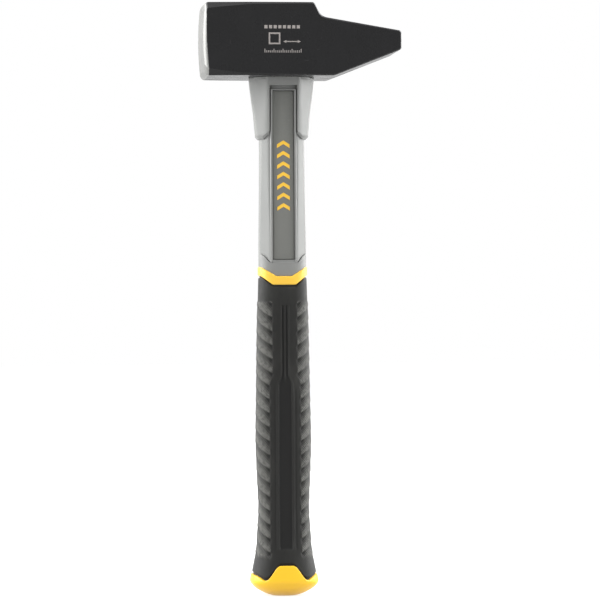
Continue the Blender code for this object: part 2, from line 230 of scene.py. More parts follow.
# The grip's moulded pattern. Distances run round the grip from the middle of its front or back.
SCALE_PITCH = 8.6 * MM
SCALE_FIRST = 179.9 * MM
SCALE_RISE = 0.58  # rise of a scale's edge per distance round the grip
SCALE_INNER = mm(7.4, 9.3)  # above and below the place where the channel opens
SCALE_CREST = 0.15  # share of the pitch from a scale's groove to its crest
SCALE_DEPTH = mm(0.65, 0.6)  # at the flank, and what the inner end adds
SCALE_PROUD = 0.42 * MM  # how far a crest stands out past the rubber between the scales
SCALE_ENDS = mm(182.5, 22.5)
SPINE_HALF = 1.5 * MM
CHANNEL_OPENS = mm(137.0, 130.5)
CHANNEL_HALF = mm(1.75, 4.0)
CHANNEL_DEPTH = 0.7 * MM
CHANNEL_ENDS = mm(180.5, 28.3)
CHANNEL_BAR = 0.7 * MM
CHANNEL_LIP = mm(0.75, 0.6, 0.24)  # distance past the channel, half width, height
OUTER_GROOVE = mm(2.25, 0.5, 0.25)  # distance past the channel, half width, depth
CUT_PITCH = 1.6 * MM  # of the fine crossing cuts on the scales

# Generic marks: a dimensioned square on the head, and a row of chevrons down each inlay.
MARK_THICKNESS = 0.05 * MM
MARK_MIDDLE = mm(-1.1, 342.8)
MARK_WIDTH = 22.8 * MM
MARK_BLOCKS = 8
MARK_TICKS = 20
CHEVRON_COUNT = 7
CHEVRON_SPAN = mm(237.6, 282.7)
CHEVRON_HALF = 3.9 * MM
CHEVRON_STROKE = 2.3 * MM
CHEVRON_DROP = 2.4 * MM
CHEVRON_HEIGHT = 0.3 * MM

# Where the lacquer ends and ground steel begins.
PAINT_START = -47.9 * MM
PAINT_START_LOW = 1.5 * MM  # how much further from the face the lacquer starts at the head's underside
PAINT_END = 72.3 * MM
PAINT_RAGGED = 0.7 * MM
PAINT_BLUR = 0.12 * MM

FLOOR_HALF = 6.0
FLOOR_GLOW = (0.3, 0.76)  # on the hammer, and towards rays that see the floor itself

FINE = 400  # steps along a curve that is measured before it is divided


def linear(*channels):
    """A colour read from a screen, 0 to 255, as the linear channels that a shader takes."""
    shares = [channel / 255 for channel in channels]
    return [s / 12.92 if s <= 0.04045 else ((s + 0.055) / 1.055) ** 2.4 for s in shares]


# ---------------------------------------------------------------- settings


LENGTH = {"unit": "LENGTH", "subtype": "DISTANCE"}
SHARE = {"min": 0.0, "max": 1.0}
LIGHT = {"min": 0.0}


def colour_property(name, description, *channels):
    look = {"default": linear(*channels), "subtype": "COLOR", "size": 3}
    return FloatVectorProperty(name=name, description=description, **look, **SHARE)


def number_property(name, description, default, kind):
    return FloatProperty(name=name, description=description, default=default, **kind)


def angle_property(name, description, degrees):
    return number_property(name, description, math.radians(degrees), {"subtype": "ANGLE"})


class HammerFinishSettings(bpy.types.PropertyGroup):
    """Colours and roughness of the hammer's finishes."""

    paint: colour_property("Paint", "Black lacquer on the forged head", 31, 31, 32)
    steel: colour_property("Ground steel", "Striking face and peen edge", 136, 136, 134)
    print_ink: colour_property("Print", "Ink of the mark on the head", 152, 146, 143)
    jacket: colour_property("Jacket", "Grey jacket and guard", 129, 130, 128)
    inlay: colour_property("Inlay", "Darker grey inlay", 113, 114, 110)
    yellow: colour_property("Yellow", "Butt cap", 246, 194, 38)
    ring: colour_property("Ring", "Paler yellow of the ring and the chevrons", 244, 196, 68)
    rubber: colour_property("Rubber", "Black rubber grip", 22, 22, 20)
    # Paler grey for the crests and cross-cuts: partly wear, partly a painted sheen.
    rubber_wear_and_sheen: colour_property("Rubber wear and sheen", "Crests of the grip's scales", 98, 98, 94)
    resin: colour_property("Resin", "Cast epoxy in the eye", 52, 48, 42)
    fibre: colour_property("Fibre", "Sawn end of the glass-fibre core", 172, 161, 126)
    paint_roughness: number_property("Paint roughness", "Roughness of the lacquer", 0.27, SHARE)
    steel_roughness: number_property("Steel roughness", "Roughness of the ground steel", 0.45, SHARE)


class HammerShapeSettings(bpy.types.PropertyGroup):
    """Sizes of the hammer's fine detail."""

    edge_round: number_property("Edge radius", "Radius on the edges of the moulded pieces", 0.8 * MM, LENGTH)
    joint: number_property("Joint", "Visible gap between neighbouring pieces", 0.12 * MM, LENGTH)
    scale_pitch: number_property("Scale pitch", "Distance between the grip's scales", SCALE_PITCH, LENGTH)


class HammerStageSettings(bpy.types.PropertyGroup):
    """Camera, light and floor."""

    distance: number_property("Camera distance", "From the camera to the handle's axis", 1.665, LENGTH)
    height: number_property("Camera height", "Height of the camera above the floor", 0.1827, LENGTH)
    aside: number_property("Camera offset", "How far the camera stands to the right", 0.0109, LENGTH)
    turn: angle_property("Turn", "Angle between the view and the cheek", 6.5)
    roll: angle_property("Roll", "Lean of the hammer in the picture", 0.35)
    lens: number_property("Lens", "Focal length", 160.92, {"unit": "CAMERA"})
    floor_colour: colour_property("Floor", "Pale floor", 158, 158, 158)
    front_light: number_property("Front light", "Light from the camera's side", 0.35, LIGHT)
    back_light: number_property("Back light", "Light from the other sides", 0.75, LIGHT)
    side_light: number_property("Side light", "Radiance of the side lamps", 4.9, LIGHT)
    top_light: number_property("Top light", "Radiance of the lamp above", 1.0, LIGHT)


# ---------------------------------------------------------------- curves and sections


def along(line, distance):
    """Height of a broken line at a distance, level before its first point and past its last."""
    places, heights = zip(*line)
    return np.interp(distance, places, heights)


def softened(line, distance, reach):
    """A broken line with its corners rounded over a reach to each side."""
    shifts = np.linspace(-reach, reach, 9)
    return sum(along(line, np.abs(distance + shift)) for shift in shifts) / len(shifts)


def eased(table, place, column):
    """A smooth curve through one column of a table, at places along its first column."""
    rows = np.array(table)
    spots = rows[:, 0]
    sizes = rows[:, column]
    slopes = np.gradient(sizes, spots)
    place = np.asarray(place, float)
    span = np.clip(np.searchsorted(spots, place) - 1, 0, len(spots) - 2)
    length = spots[span + 1] - spots[span]
    share = (place - spots[span]) / length
    held = np.clip(share, 0, 1)
    curve = (
        sizes[span] * (2 * held**3 - 3 * held**2 + 1)
        + sizes[span + 1] * (3 * held**2 - 2 * held**3)
        + slopes[span] * length * (held**3 - 2 * held**2 + held)
        + slopes[span + 1] * length * (held**3 - held**2)
    )
    past = (share - held) * length
    return curve + past * np.where(share < 0, slopes[span], slopes[span + 1])


def swell(table, heights):
    """Half widths and half thicknesses at some heights, from a table of both."""
    return eased(table, heights, 1), eased(table, heights, 2)


def faded(value, zero, one):
    """0 at and beyond one place, 1 at and beyond another, with a smooth change between."""
    share = np.clip((value - zero) / (one - zero), 0, 1)
    return share * share * (3 - 2 * share)


def oval_depth(across, half_sizes, power=HANDLE_POWER):
    """How far an oval reaches through the handle at a distance across it."""
    share = np.clip(1 - (across / half_sizes[0]) ** power, 0, 1)
    return half_sizes[1] * share ** (1 / power)


def quarter(half_sizes, steps, fixed=(0.0,), power=HANDLE_POWER):
    """A quarter oval from the middle of the front to the flank: (across, through).

    It passes through the fixed distances across, and is then divided evenly.
    """
    fixed = np.array(fixed)
    start = math.acos(min(1.0, fixed[-1] / half_sizes[0]) ** (power / 2))
    angles = np.linspace(start, 0, FINE)
    across = half_sizes[0] * np.cos(angles) ** (2 / power)
    through = half_sizes[1] * np.sin(angles) ** (2 / power)
    lengths = np.concatenate(([0.0], np.cumsum(np.hypot(np.diff(across), np.diff(through)))))
    even = np.linspace(0, lengths[-1], steps + 1)[1:]
    side = np.interp(even, lengths, across), np.interp(even, lengths, through)
    front = fixed, oval_depth(fixed, half_sizes, power)
    return np.concatenate((front[0], side[0])), np.concatenate((front[1], side[1]))


def quarters(sizes, steps, fixed=(0.0,), power=HANDLE_POWER):
    """Quarter ovals of several sizes as two grids, across and through."""
    pairs = [quarter(half_sizes, steps, fixed, power) for half_sizes in sizes]
    return np.array([pair[0] for pair in pairs]), np.array([pair[1] for pair in pairs])


def drawn_in(across, through, sizes, depth, power=HANDLE_POWER):
    """Points of ovals moved inwards, square to them."""
    sizes = np.array(sizes)
    lean_x = (across / sizes[:, :1]) ** (power - 1) / sizes[:, :1]
    lean_y = (through / sizes[:, 1:]) ** (power - 1) / sizes[:, 1:]
    length = np.hypot(lean_x, lean_y)
    return across - depth * lean_x / length, through - depth * lean_y / length


def least(first, second, softness):
    """The lesser of two depths, with a soft change from one to the other."""
    blend = np.clip(0.5 + (first - second) / (2 * softness), 0, 1)
    return first + (second - first) * blend - softness * blend * (1 - blend)


def faceted(across, through, start, slope, softness):
    """Ovals cut back by a plane between front and flank, which starts at a (across, through) place."""
    return least(start[1] - slope * (across - start[0]), through, softness)


def whole(values, turned=False, flipped=False):
    """A quarter's values repeated round the ring, from the middle of the front anticlockwise.

    turned changes the sign on the -X side, and flipped on the front.
    """
    left = -1 if turned else 1
    front = -1 if flipped else 1
    pieces = (
        values * front,
        values[:, -2::-1],
        values[:, 1:] * left,
        values[:, -2:0:-1] * left * front,
    )
    return np.concatenate(pieces, axis=1)


def rings_of(across, through, heights):
    """Whole rings of points from quarter grids."""
    heights = np.broadcast_to(heights, across.shape)
    grids = whole(across, turned=True), whole(through, flipped=True), whole(heights)
    return np.stack(grids, axis=2)


def skin(name, rings, loop=True, marks=None, sharp=40.0):
    """A mesh object over rings of points: up the outside and, in a loop, down the inside.

    Without loop, the first and last rings are capped. marks are named values, one for each point.
    """
    rows, columns = rings.shape[:2]
    index = np.arange(rows * columns).reshape(rows, columns)
    following = np.roll(index, -1, axis=1)
    last = rows if loop else rows - 1
    upper = np.roll(index, -1, axis=0)[:last]
    upper_following = np.roll(following, -1, axis=0)[:last]
    quads = np.stack((index[:last], following[:last], upper_following, upper), axis=2).reshape(-1, 4).tolist()
    if not loop:
        quads.append(index[0][::-1].tolist())
        quads.append(index[-1].tolist())
    mesh = bpy.data.meshes.new(name)
    mesh.from_pydata(rings.reshape(-1, 3), [], quads)
    for mark, values in (marks or {}).items():
        layer = mesh.attributes.new(mark, "FLOAT", "POINT")
        layer.data.foreach_set("value", np.ascontiguousarray(values, np.float32).ravel())
    return shaped(name, mesh, sharp)


def shaped(name, mesh, sharp=40.0):
    """An object for a mesh, shaded smooth except at its sharp edges."""
    mesh.update()
    mesh.shade_smooth()
    mesh.set_sharp_from_angle(angle=math.radians(sharp))
    made = bpy.data.objects.new(name, mesh)
    bpy.context.scene.collection.objects.link(made)
    return made


def rounded_rows(radius, steps=5):
    """(distance from the end, inset) pairs of a rounded end, from the end inwards."""
    angles = np.linspace(math.pi / 2, 0, steps + 1)
    return [(radius * (1 - math.sin(angle)), radius * (1 - math.cos(angle))) for angle in angles]


def sleeve_heights(low, high, ends, shares):
    """Heights and insets of a sleeve's rows. ends are (distance, inset) pairs from either end inwards."""
    distances, insets = zip(*ends)
    reach = distances[-1]
    heights = [low + distance for distance in distances]
    heights += [low + reach + (high - low - 2 * reach) * share for share in shares]
    heights += [high - distance for distance in distances[::-1]]
    depths = [*insets, *[0.0] * len(shares), *insets[::-1]]
    return np.array(heights), np.array(depths)[:, None]


def grown(half_sizes, margin):
    return tuple(half + margin for half in half_sizes)


def evaluated(piece):
    """A piece with its modifiers applied, so that its mesh is what shows."""
    graph = bpy.context.evaluated_depsgraph_get()
    mesh = bpy.data.meshes.new_from_object(piece.evaluated_get(graph))
    piece.modifiers.clear()
    piece.data = mesh
    return piece


def finished(piece, finish, slot, *nodes):
    """Gives a piece its finish and its place in the frame."""
    piece.data.materials.clear()
    piece.data.materials.append(bpy.data.materials[finish])
    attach(piece, BODY)
    if nodes:
        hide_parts(*nodes)
    return piece


# ---------------------------------------------------------------- shader helpers


def fed(tree, node, links):
    """Fills a node's inputs, each with a value or with another node's output."""
    for name, value in links.items():
        if isinstance(value, bpy.types.NodeSocket):
            tree.links.new(value, node.inputs[name])
        else:
            node.inputs[name].default_value = value
    return node


def place(tree, kind, links=None, **settings):
    """Adds a node with its settings and its inputs."""
    made = tree.nodes.new("ShaderNode" + kind)
    for name, value in settings.items():
        setattr(made, name, value)
    return fed(tree, made, links or {})


def use_group(tree, name, links):
    """Places a node group and returns its outputs."""
    return place(tree, "Group", links, node_tree=bpy.data.node_groups[name]).outputs


def maths(tree, operation, first, second=0.0, clamp=False):
    return place(tree, "Math", {0: first, 1: second}, operation=operation, use_clamp=clamp).outputs[0]


def plus(tree, first, second, clamp=False):
    return maths(tree, "ADD", first, second, clamp)


def minus(tree, first, second):
    return maths(tree, "SUBTRACT", first, second)


def times(tree, first, second, clamp=False):
    return maths(tree, "MULTIPLY", first, second, clamp)


def scaled_colour(tree, colour, factor):
    return place(tree, "VectorMath", {0: colour, 3: factor}, operation="SCALE").outputs[0]


def spread(tree, value, low, high, to_low=0.0, to_high=1.0):
    """A value carried from one range to another, held at both ends."""
    links = {"Value": value, "From Min": low, "From Max": high, "To Min": to_low, "To Max": to_high}
    return place(tree, "MapRange", links).outputs[0]


def mixed(tree, factor, first, second):
    """A blend of two numbers."""
    return place(tree, "Mix", {0: factor, 2: first, 3: second}, data_type="FLOAT").outputs[0]


def mixed_colour(tree, factor, first, second):
    return place(tree, "Mix", {0: factor, 6: first, 7: second}, data_type="RGBA").outputs[2]


def noise(tree, position, scale, detail=2.0, roughness=0.5):
    links = {"Vector": position, "Scale": scale, "Detail": detail, "Roughness": roughness}
    return place(tree, "TexNoise", links).outputs["Fac"]


def cells(tree, position, scale):
    """Distance from the middle of the nearest of many cells."""
    return place(tree, "TexVoronoi", {"Vector": position, "Scale": scale}).outputs["Distance"]


def stretched(tree, position, *scales):
    """Coordinates scaled along each axis, so that a texture runs in lines."""
    return place(tree, "Mapping", {"Vector": position, "Scale": scales}).outputs[0]


def object_position(tree):
    return place(tree, "TexCoord").outputs["Object"]


def object_axis(tree, letter):
    return place(tree, "SeparateXYZ", {0: object_position(tree)}).outputs[letter]


def opaque(colour):
    return (*colour, 1.0)


def new_group(name, inputs, outputs):
    """An empty node group with its sockets: (tree, what it takes in, output node)."""
    tree = bpy.data.node_groups.new(name, "ShaderNodeTree")
    for direction, sockets in (("INPUT", inputs), ("OUTPUT", outputs)):
        for socket_name in sockets:
            kind = "NodeSocketColor" if socket_name == "Colour" else "NodeSocketFloat"
            tree.interface.new_socket(socket_name, in_out=direction, socket_type=kind)
    return tree, tree.nodes.new("NodeGroupInput").outputs, tree.nodes.new("NodeGroupOutput")


def moulded_grain_group():
    """Grain left by a spark-eroded mould, with faint clouds in colour and roughness."""
    inputs = ("Colour", "Tint", "Grain", "Roughness", "Spread")
    tree, entry, leave = new_group("Moulded grain", inputs, ("Colour", "Roughness", "Height"))
    position = object_position(tree)
    clouds = noise(tree, position, 70.0, 3.0)
    fine = noise(tree, position, entry["Grain"], 3.0, 0.6)
    shift = plus(tree, minus(tree, clouds, 0.5), minus(tree, fine, 0.5))
    factor = plus(tree, times(tree, shift, entry["Tint"]), 1.0)
    patches = minus(tree, noise(tree, position, 160.0, 2.0), 0.5)
    result = {
        "Colour": scaled_colour(tree, entry["Colour"], factor),
        "Roughness": plus(tree, entry["Roughness"], times(tree, patches, entry["Spread"])),
        "Height": fine,
    }
    fed(tree, leave, result)


def edge_wear_and_highlight_group():
    """A mask for convex edges, broken up by noise: partly edge wear from handling and packing, partly a
    painted edge highlight.
    """
    tree, entry, leave = new_group("Edge wear and highlight", ("Amount", "Breakup"), ("Mask",))
    edges = spread(tree, place(tree, "NewGeometry").outputs["Pointiness"], 0.53, 0.62)
    broken = spread(tree, noise(tree, object_position(tree), entry["Breakup"], 4.0), 0.42, 0.62)
    fed(tree, leave, {"Mask": times(tree, times(tree, edges, broken), entry["Amount"], clamp=True)})


def handling_group():
    """Faint smears and hairline scuffs from handling."""
    tree, entry, leave = new_group("Handling", ("Amount",), ("Smears", "Scuffs"))
    position = object_position(tree)
    smears = spread(tree, noise(tree, stretched(tree, position, 60.0, 60.0, 25.0), 1.0, 4.0), 0.5, 0.72)
    lines = noise(tree, stretched(tree, position, 900.0, 900.0, 60.0), 1.0, 2.0)
    crossing = noise(tree, stretched(tree, position, 80.0, 900.0, 1100.0), 1.0, 2.0)
    hairs = spread(tree, maths(tree, "MAXIMUM", lines, crossing), 0.74, 0.8)
    amount = entry["Amount"]
    fed(tree, leave, {"Smears": times(tree, smears, amount), "Scuffs": times(tree, hairs, amount)})


def grained(tree, colour, tint, grain, roughness, uneven):
    """A colour with moulded grain, as the outputs Colour, Roughness and Height."""
    look = {"Colour": opaque(colour), "Tint": tint, "Grain": grain, "Roughness": roughness}
    return use_group(tree, "Moulded grain", {**look, "Spread": uneven})


def new_material(name, **values):
    """A new material's tree and its Principled BSDF. values are numbers on its sockets."""
    made = bpy.data.materials.new(name)
    made.use_nodes = True
    shader = made.node_tree.nodes["Principled BSDF"]
    for socket_name, value in values.items():
        shader.inputs[socket_name.replace("_", " ")].default_value = value
    return made.node_tree, shader


def surfaced(tree, shader, colour, roughness, height, depth):
    """Gives a shader its colour and roughness, and a bump of a given depth."""
    relief = place(tree, "Bump", {"Height": height, "Distance": depth, "Strength": 1.0})
    fed(tree, shader, {"Base Color": colour, "Roughness": roughness, "Normal": relief.outputs["Normal"]})


def moulded_plastic(name, colour, roughness, grain, depth, tint=0.05, edge_paling=0.2):
    """Moulded plastic: grain, clouds, edges paled partly for wear and partly as a painted highlight, and
    handling.
    """
    tree, shader = new_material(name, IOR=1.46)
    moulded = grained(tree, colour, tint, grain, roughness, 0.14)
    edge_wear_and_highlight = use_group(tree, "Edge wear and highlight", {"Amount": edge_paling, "Breakup": 700.0})["Mask"]
    smears = use_group(tree, "Handling", {"Amount": 0.25})["Smears"]
    # Colour of the paled edges: partly edge wear, partly a painted highlight.
    pale = opaque([min(1.0, channel * 1.25 + 0.02) for channel in colour])
    coloured = mixed_colour(tree, edge_wear_and_highlight, moulded["Colour"], pale)
    worn = minus(tree, moulded["Roughness"], times(tree, edge_wear_and_highlight, 0.1))
    surfaced(tree, shader, coloured, plus(tree, worn, times(tree, smears, 0.2)), moulded["Height"], depth)


def forged_steel(finishes):
    """Black lacquer over forged steel, with the striking face and the peen's edge ground bright."""
    tree, shader = new_material("Lacquered steel", IOR=1.27)
    position = object_position(tree)
    reach = object_axis(tree, "X")
    ragged = times(tree, minus(tree, noise(tree, position, 500.0, 4.0), 0.5), PAINT_RAGGED)
    lower = spread(tree, object_axis(tree, "Z"), HEAD_MIDDLE, HEAD_LOW, 0.0, PAINT_START_LOW)
    face_line = minus(tree, plus(tree, reach, ragged), lower)
    face = spread(tree, face_line, PAINT_START - PAINT_BLUR, PAINT_START + PAINT_BLUR, 1.0, 0.0)
    peen_line = plus(tree, reach, times(tree, ragged, 0.3))
    peen = spread(tree, peen_line, PAINT_END - PAINT_BLUR, PAINT_END + PAINT_BLUR)
    ground = maths(tree, "MAXIMUM", face, peen)

    paint = grained(tree, finishes.paint, 0.25, 900.0, finishes.paint_roughness, 0.16)
    # The lacquer pales along its edges: partly edge wear, partly a painted highlight.
    edge_wear_and_highlight = use_group(tree, "Edge wear and highlight", {"Amount": 0.35, "Breakup": 900.0})["Mask"]
    handled = use_group(tree, "Handling", {"Amount": 0.5})
    paint_edge_wear_and_highlight = mixed_colour(tree, edge_wear_and_highlight, paint["Colour"], opaque(linear(92, 92, 92)))
    scuffed = mixed_colour(tree, handled["Scuffs"], paint_edge_wear_and_highlight, opaque(linear(78, 78, 78)))
    paint_rough = plus(tree, paint["Roughness"], times(tree, handled["Smears"], 0.3))
    forged = plus(tree, paint["Height"], times(tree, noise(tree, position, 220.0), 2.0))

    lines = noise(tree, stretched(tree, position, 5000.0, 160.0, 5000.0), 1.0, 3.0, 0.6)
    steel = scaled_colour(tree, tuple(finishes.steel), spread(tree, lines, 0.3, 0.7, 0.9, 1.05))
    smoothest = finishes.steel_roughness - 0.06
    roughest = finishes.steel_roughness + 0.1
    steel_rough = spread(tree, lines, 0.3, 0.7, smoothest, roughest)

    colour = mixed_colour(tree, ground, scuffed, steel)
    roughness = mixed(tree, ground, paint_rough, steel_rough)
    relief = mixed(tree, ground, forged, times(tree, lines, 0.5))
    surfaced(tree, shader, colour, roughness, relief, 0.02 * MM)
    fed(tree, shader, {"Metallic": ground})


def black_rubber(finishes):
    """Soft black rubber: matt grain all over, a fine cross-cut texture on the scales, painted sheen on the
    crests and painted shade in the grooves.
    """
    tree, shader = new_material("Black rubber", IOR=1.34)
    moulded = grained(tree, finishes.rubber, 0.3, 2600.0, 0.52, 0.12)
    smears = use_group(tree, "Handling", {"Amount": 0.5})["Smears"]
    names = ("scales", "around", "hollow")
    scales, around, hollow = (place(tree, "Attribute", attribute_name=name).outputs["Fac"] for name in names)
    height = object_axis(tree, "Z")
    cuts = []
    for lean in (1.0, -1.0):
        slant = plus(tree, height, times(tree, around, lean))
        wave = maths(tree, "SINE", times(tree, slant, 2 * math.pi / CUT_PITCH))
        cuts.append(spread(tree, wave, -1.0, -0.2))
    checks = times(tree, times(tree, cuts[0], cuts[1]), scales)
    # Crests and cross-cuts pale towards the grey above: partly wear and dust, partly a painted sheen from the
    # side lights.
    crests = times(tree, spread(tree, hollow, 0.0, -0.35), scales)
    patches = noise(tree, object_position(tree), 700.0, 4.0)
    worn = times(tree, crests, spread(tree, patches, 0.38, 0.62, 0.15, 1.0))
    dust_wear_and_sheen = plus(tree, times(tree, smears, 0.25), worn)
    bloom_and_sheen = plus(tree, times(tree, checks, 0.55), dust_wear_and_sheen, clamp=True)
    surface = mixed_colour(tree, bloom_and_sheen, moulded["Colour"], opaque(finishes.rubber_wear_and_sheen))
    # Darker where the relief lies deep: painted shade in the grooves.
    painted_groove_shade = scaled_colour(tree, surface, spread(tree, hollow, 0.05, 0.55, 1.0, 0.2))
    relief = plus(tree, times(tree, moulded["Height"], 0.35), checks)
    surfaced(tree, shader, painted_groove_shade, moulded["Roughness"], relief, 0.3 * MM)


def cast_epoxy(finishes):
    """Dark cast resin with trapped bubbles near its surface."""
    tree, shader = new_material("Cast epoxy", IOR=1.55)
    cast = grained(tree, finishes.resin, 0.4, 300.0, 0.34, 0.2)
    pits = spread(tree, cells(tree, object_position(tree), 700.0), 0.05, 0.2)
    surfaced(tree, shader, cast["Colour"], cast["Roughness"], plus(tree, cast["Height"], pits), 0.08 * MM)


def glass_fibre(finishes):
    """A pultruded rod: pale fibre ends in resin where it is sawn, and long strands along it."""
    tree, shader = new_material("Glass fibre", IOR=1.52)
    strands = stretched(tree, object_position(tree), 2600.0, 2600.0, 60.0)
    between = spread(tree, cells(tree, strands, 1.0), 0.35, 0.75)
    base = grained(tree, finishes.fibre, 0.2, 1200.0, 0.55, 0.2)
    coloured = mixed_colour(tree, between, base["Colour"], opaque(linear(128, 113, 78)))
    surfaced(tree, shader, coloured, base["Roughness"], minus(tree, base["Height"], between), 0.05 * MM)


def build_materials(finishes):
    moulded_grain_group()
    edge_wear_and_highlight_group()
    handling_group()
    forged_steel(finishes)
    black_rubber(finishes)
    cast_epoxy(finishes)
    glass_fibre(finishes)
    moulded_plastic("Printed ink", finishes.print_ink, 0.5, 2200.0, 0.01 * MM, tint=0.3, edge_paling=0.0)
    moulded_plastic("Grey jacket", finishes.jacket, 0.42, 3000.0, 0.03 * MM)
    moulded_plastic("Grey guard", finishes.jacket, 0.44, 2600.0, 0.03 * MM)
    moulded_plastic("Grey inlay", finishes.inlay, 0.5, 2600.0, 0.03 * MM)
    moulded_plastic("Yellow ring", finishes.ring, 0.33, 1500.0, 0.012 * MM, tint=0.04, edge_paling=0.1)
    moulded_plastic("Yellow cap", finishes.yellow, 0.35, 1300.0, 0.012 * MM, tint=0.04, edge_paling=0.15)
    moulded_plastic("Washer rubber", linear(32, 32, 31), 0.75, 2400.0, 0.03 * MM, tint=0.2)


# ---------------------------------------------------------------- head


def rounded_corners(corners, radii, steps=10):
    """A closed or open broken line of (across, up) corners with each turned into an arc."""
    line = []
    for index, radius in enumerate(radii):
        corner = Vector(corners[index])
        if radius == 0:
            line.append(corner)
            continue
        before = (Vector(corners[index - 1]) - corner).normalized()
        after = (Vector(corners[(index + 1) % len(corners)]) - corner).normalized()
        half_angle = before.angle(after) / 2
        centre = corner + (before + after).normalized() * radius / math.sin(half_angle)
        start = corner + before * radius / math.tan(half_angle) - centre
        end = corner + after * radius / math.tan(half_angle) - centre
        sweep = start.angle_signed(end)
        for step in range(steps + 1):
            line.append(centre + Matrix.Rotation(-sweep * step / steps, 2) @ start)
    return line


def head_top():
    """The head's top from the face to the peen: level, the step, then a slope."""
    root = OVERALL - STEP_DROP
    tip = root - PEEN_TOP_SLOPE * (PEEN_REACH - STEP_ROOT_X)
    corners = [(-FACE_REACH, OVERALL), (STEP_X, OVERALL), (STEP_ROOT_X, root), (PEEN_REACH, tip)]
    return rounded_corners(corners, (0, STEP_TOP_ROUND, STEP_ROOT_ROUND, 0))


def head_underside():
    """The head's underside: level, then rising to the peen."""
    tip = HEAD_LOW + PEEN_UNDER_SLOPE * (PEEN_REACH - PEEN_UNDER_X)
    corners = [(-FACE_REACH, HEAD_LOW), (PEEN_UNDER_X, HEAD_LOW), (PEEN_REACH, tip)]
    return rounded_corners(corners, (0, PEEN_UNDER_ROUND, 0))


def crown(across, up):
    """How far the crowned face falls back at a place, from its middle."""
    return FACE_CROWN * (across**2 + (up - HEAD_MIDDLE) ** 2) / HEAD_HALF**2


def head_ring(distance, inset, top, low):
    """The head's outline square to its length: a rectangle with chamfered corners, softened at each edge."""
    half = HEAD_HALF - inset
    high = along(top, distance) - inset
    base = along(low, distance) + inset
    cut_top = along(TOP_CHAMFER, distance)
    cut_low = along(LOW_CHAMFER, distance)
    corners = [
        (half, base + cut_low),
        (half, high - cut_top),
        (half - cut_top, high),
        (cut_top - half, high),
        (-half, high - cut_top),
        (-half, base + cut_low),
        (cut_low - half, base),
        (half - cut_low, base),
    ]
    soft = rounded_corners(corners, [CHAMFER_SOFTNESS] * len(corners), steps=3)
    outline = []
    divisions = (16, 2, 16, 2, 16, 2, 16, 2)  # between one corner's arc and the next
    arcs = [soft[start : start + 4] for start in range(0, len(soft), 4)]
    for index, count in enumerate(divisions):
        outline += arcs[index]
        end = arcs[(index + 1) % len(arcs)][0]
        outline += [arcs[index][-1].lerp(end, step / count) for step in range(1, count)]
    fade = max(0.0, 1 - (distance + FACE_REACH) / CROWN_FADE)
    return [(distance + fade * crown(across, up), across, up) for across, up in outline]


def head_stations():
    """(distance along the head, inset) of its rings, close together where its outline bends."""
    face = [(end - FACE_REACH, inset) for end, inset in rounded_rows(FACE_EDGE_ROUND, 10)]
    peen = [(PEEN_REACH - end, inset) for end, inset in rounded_rows(PEEN_EDGE_ROUND, 7)]
    middle = sorted({round(place, 2) for run in HEAD_RUNS for place in np.arange(*run)})
    return face + [(place * MM, 0.0) for place in middle] + peen[::-1]


def cut_with(piece, cutter):
    """Cuts a piece with another, and removes the cutter."""
    boolean = piece.modifiers.new("cut", "BOOLEAN")
    boolean.operation = "DIFFERENCE"
    boolean.solver = "EXACT"
    boolean.object = cutter
    evaluated(piece)
    bpy.data.objects.remove(cutter)


def shaded_by_area(piece, sharp):
    """Shades a piece smooth between its sharp edges, with its large faces kept flat."""
    piece.data.shade_smooth()
    piece.data.set_sharp_from_angle(angle=math.radians(sharp))
    modifier = piece.modifiers.new("weighted", "WEIGHTED_NORMAL")
    modifier.keep_sharp = True


def oval_skin(name, rows, loop=True):
    """A skin over ovals, each given as (half sizes, height)."""
    sizes, heights = zip(*rows)
    across, through = quarters(sizes, EYE_STEPS, power=OVAL_POWER)
    return skin(name, rings_of(across, through, np.array(heights)[:, None]), loop)


def eye_cutter():
    """The eye as a solid: waisted, with a rounded mouth, and past the head at both ends."""
    half_round = EYE_MOUTH_ROUND / 2
    foot = grown(EYE_LOW, half_round)
    rows = [(foot, HEAD_LOW - CUTTER_PAST), (foot, HEAD_LOW)]
    rows += [(EYE_LOW, HEAD_LOW + half_round), (EYE_WAIST, HEAD_MIDDLE)]
    for distance, inset in rounded_rows(EYE_MOUTH_ROUND)[::-1]:
        rows.append((grown(EYE_TOP, inset), OVERALL - distance))
    rows.append((grown(EYE_TOP, EYE_MOUTH_ROUND), OVERALL + CUTTER_PAST))
    return oval_skin("eye_cutter", rows, loop=False)


def build_head():
    top = [tuple(point) for point in head_top()]
    low = [tuple(point) for point in head_underside()]
    body = [head_ring(distance, inset, top, low) for distance, inset in head_stations()]
    rim = np.array(body[0])
    face = []
    for share in np.linspace(0.08, 0.93, 9):
        ring = rim.copy()
        ring[:, 1] *= share
        ring[:, 2] = HEAD_MIDDLE + (ring[:, 2] - HEAD_MIDDLE) * share
        ring[:, 0] = crown(ring[:, 1], ring[:, 2]) - FACE_REACH
        face.append(ring)
    tip = np.array(body[-1])
    tip_middle = np.array((PEEN_REACH, 0.0, (tip[:, 2].min() + tip[:, 2].max()) / 2))
    end = [tip_middle + (tip - tip_middle) * share for share in (0.6, 0.2)]
    head = skin("forged_head", np.array(face + body + end), loop=False)
    cut_with(head, eye_cutter())
    shaded_by_area(head, 32)
    finished(head, "Lacquered steel", "forged_steel", "hammer_head")


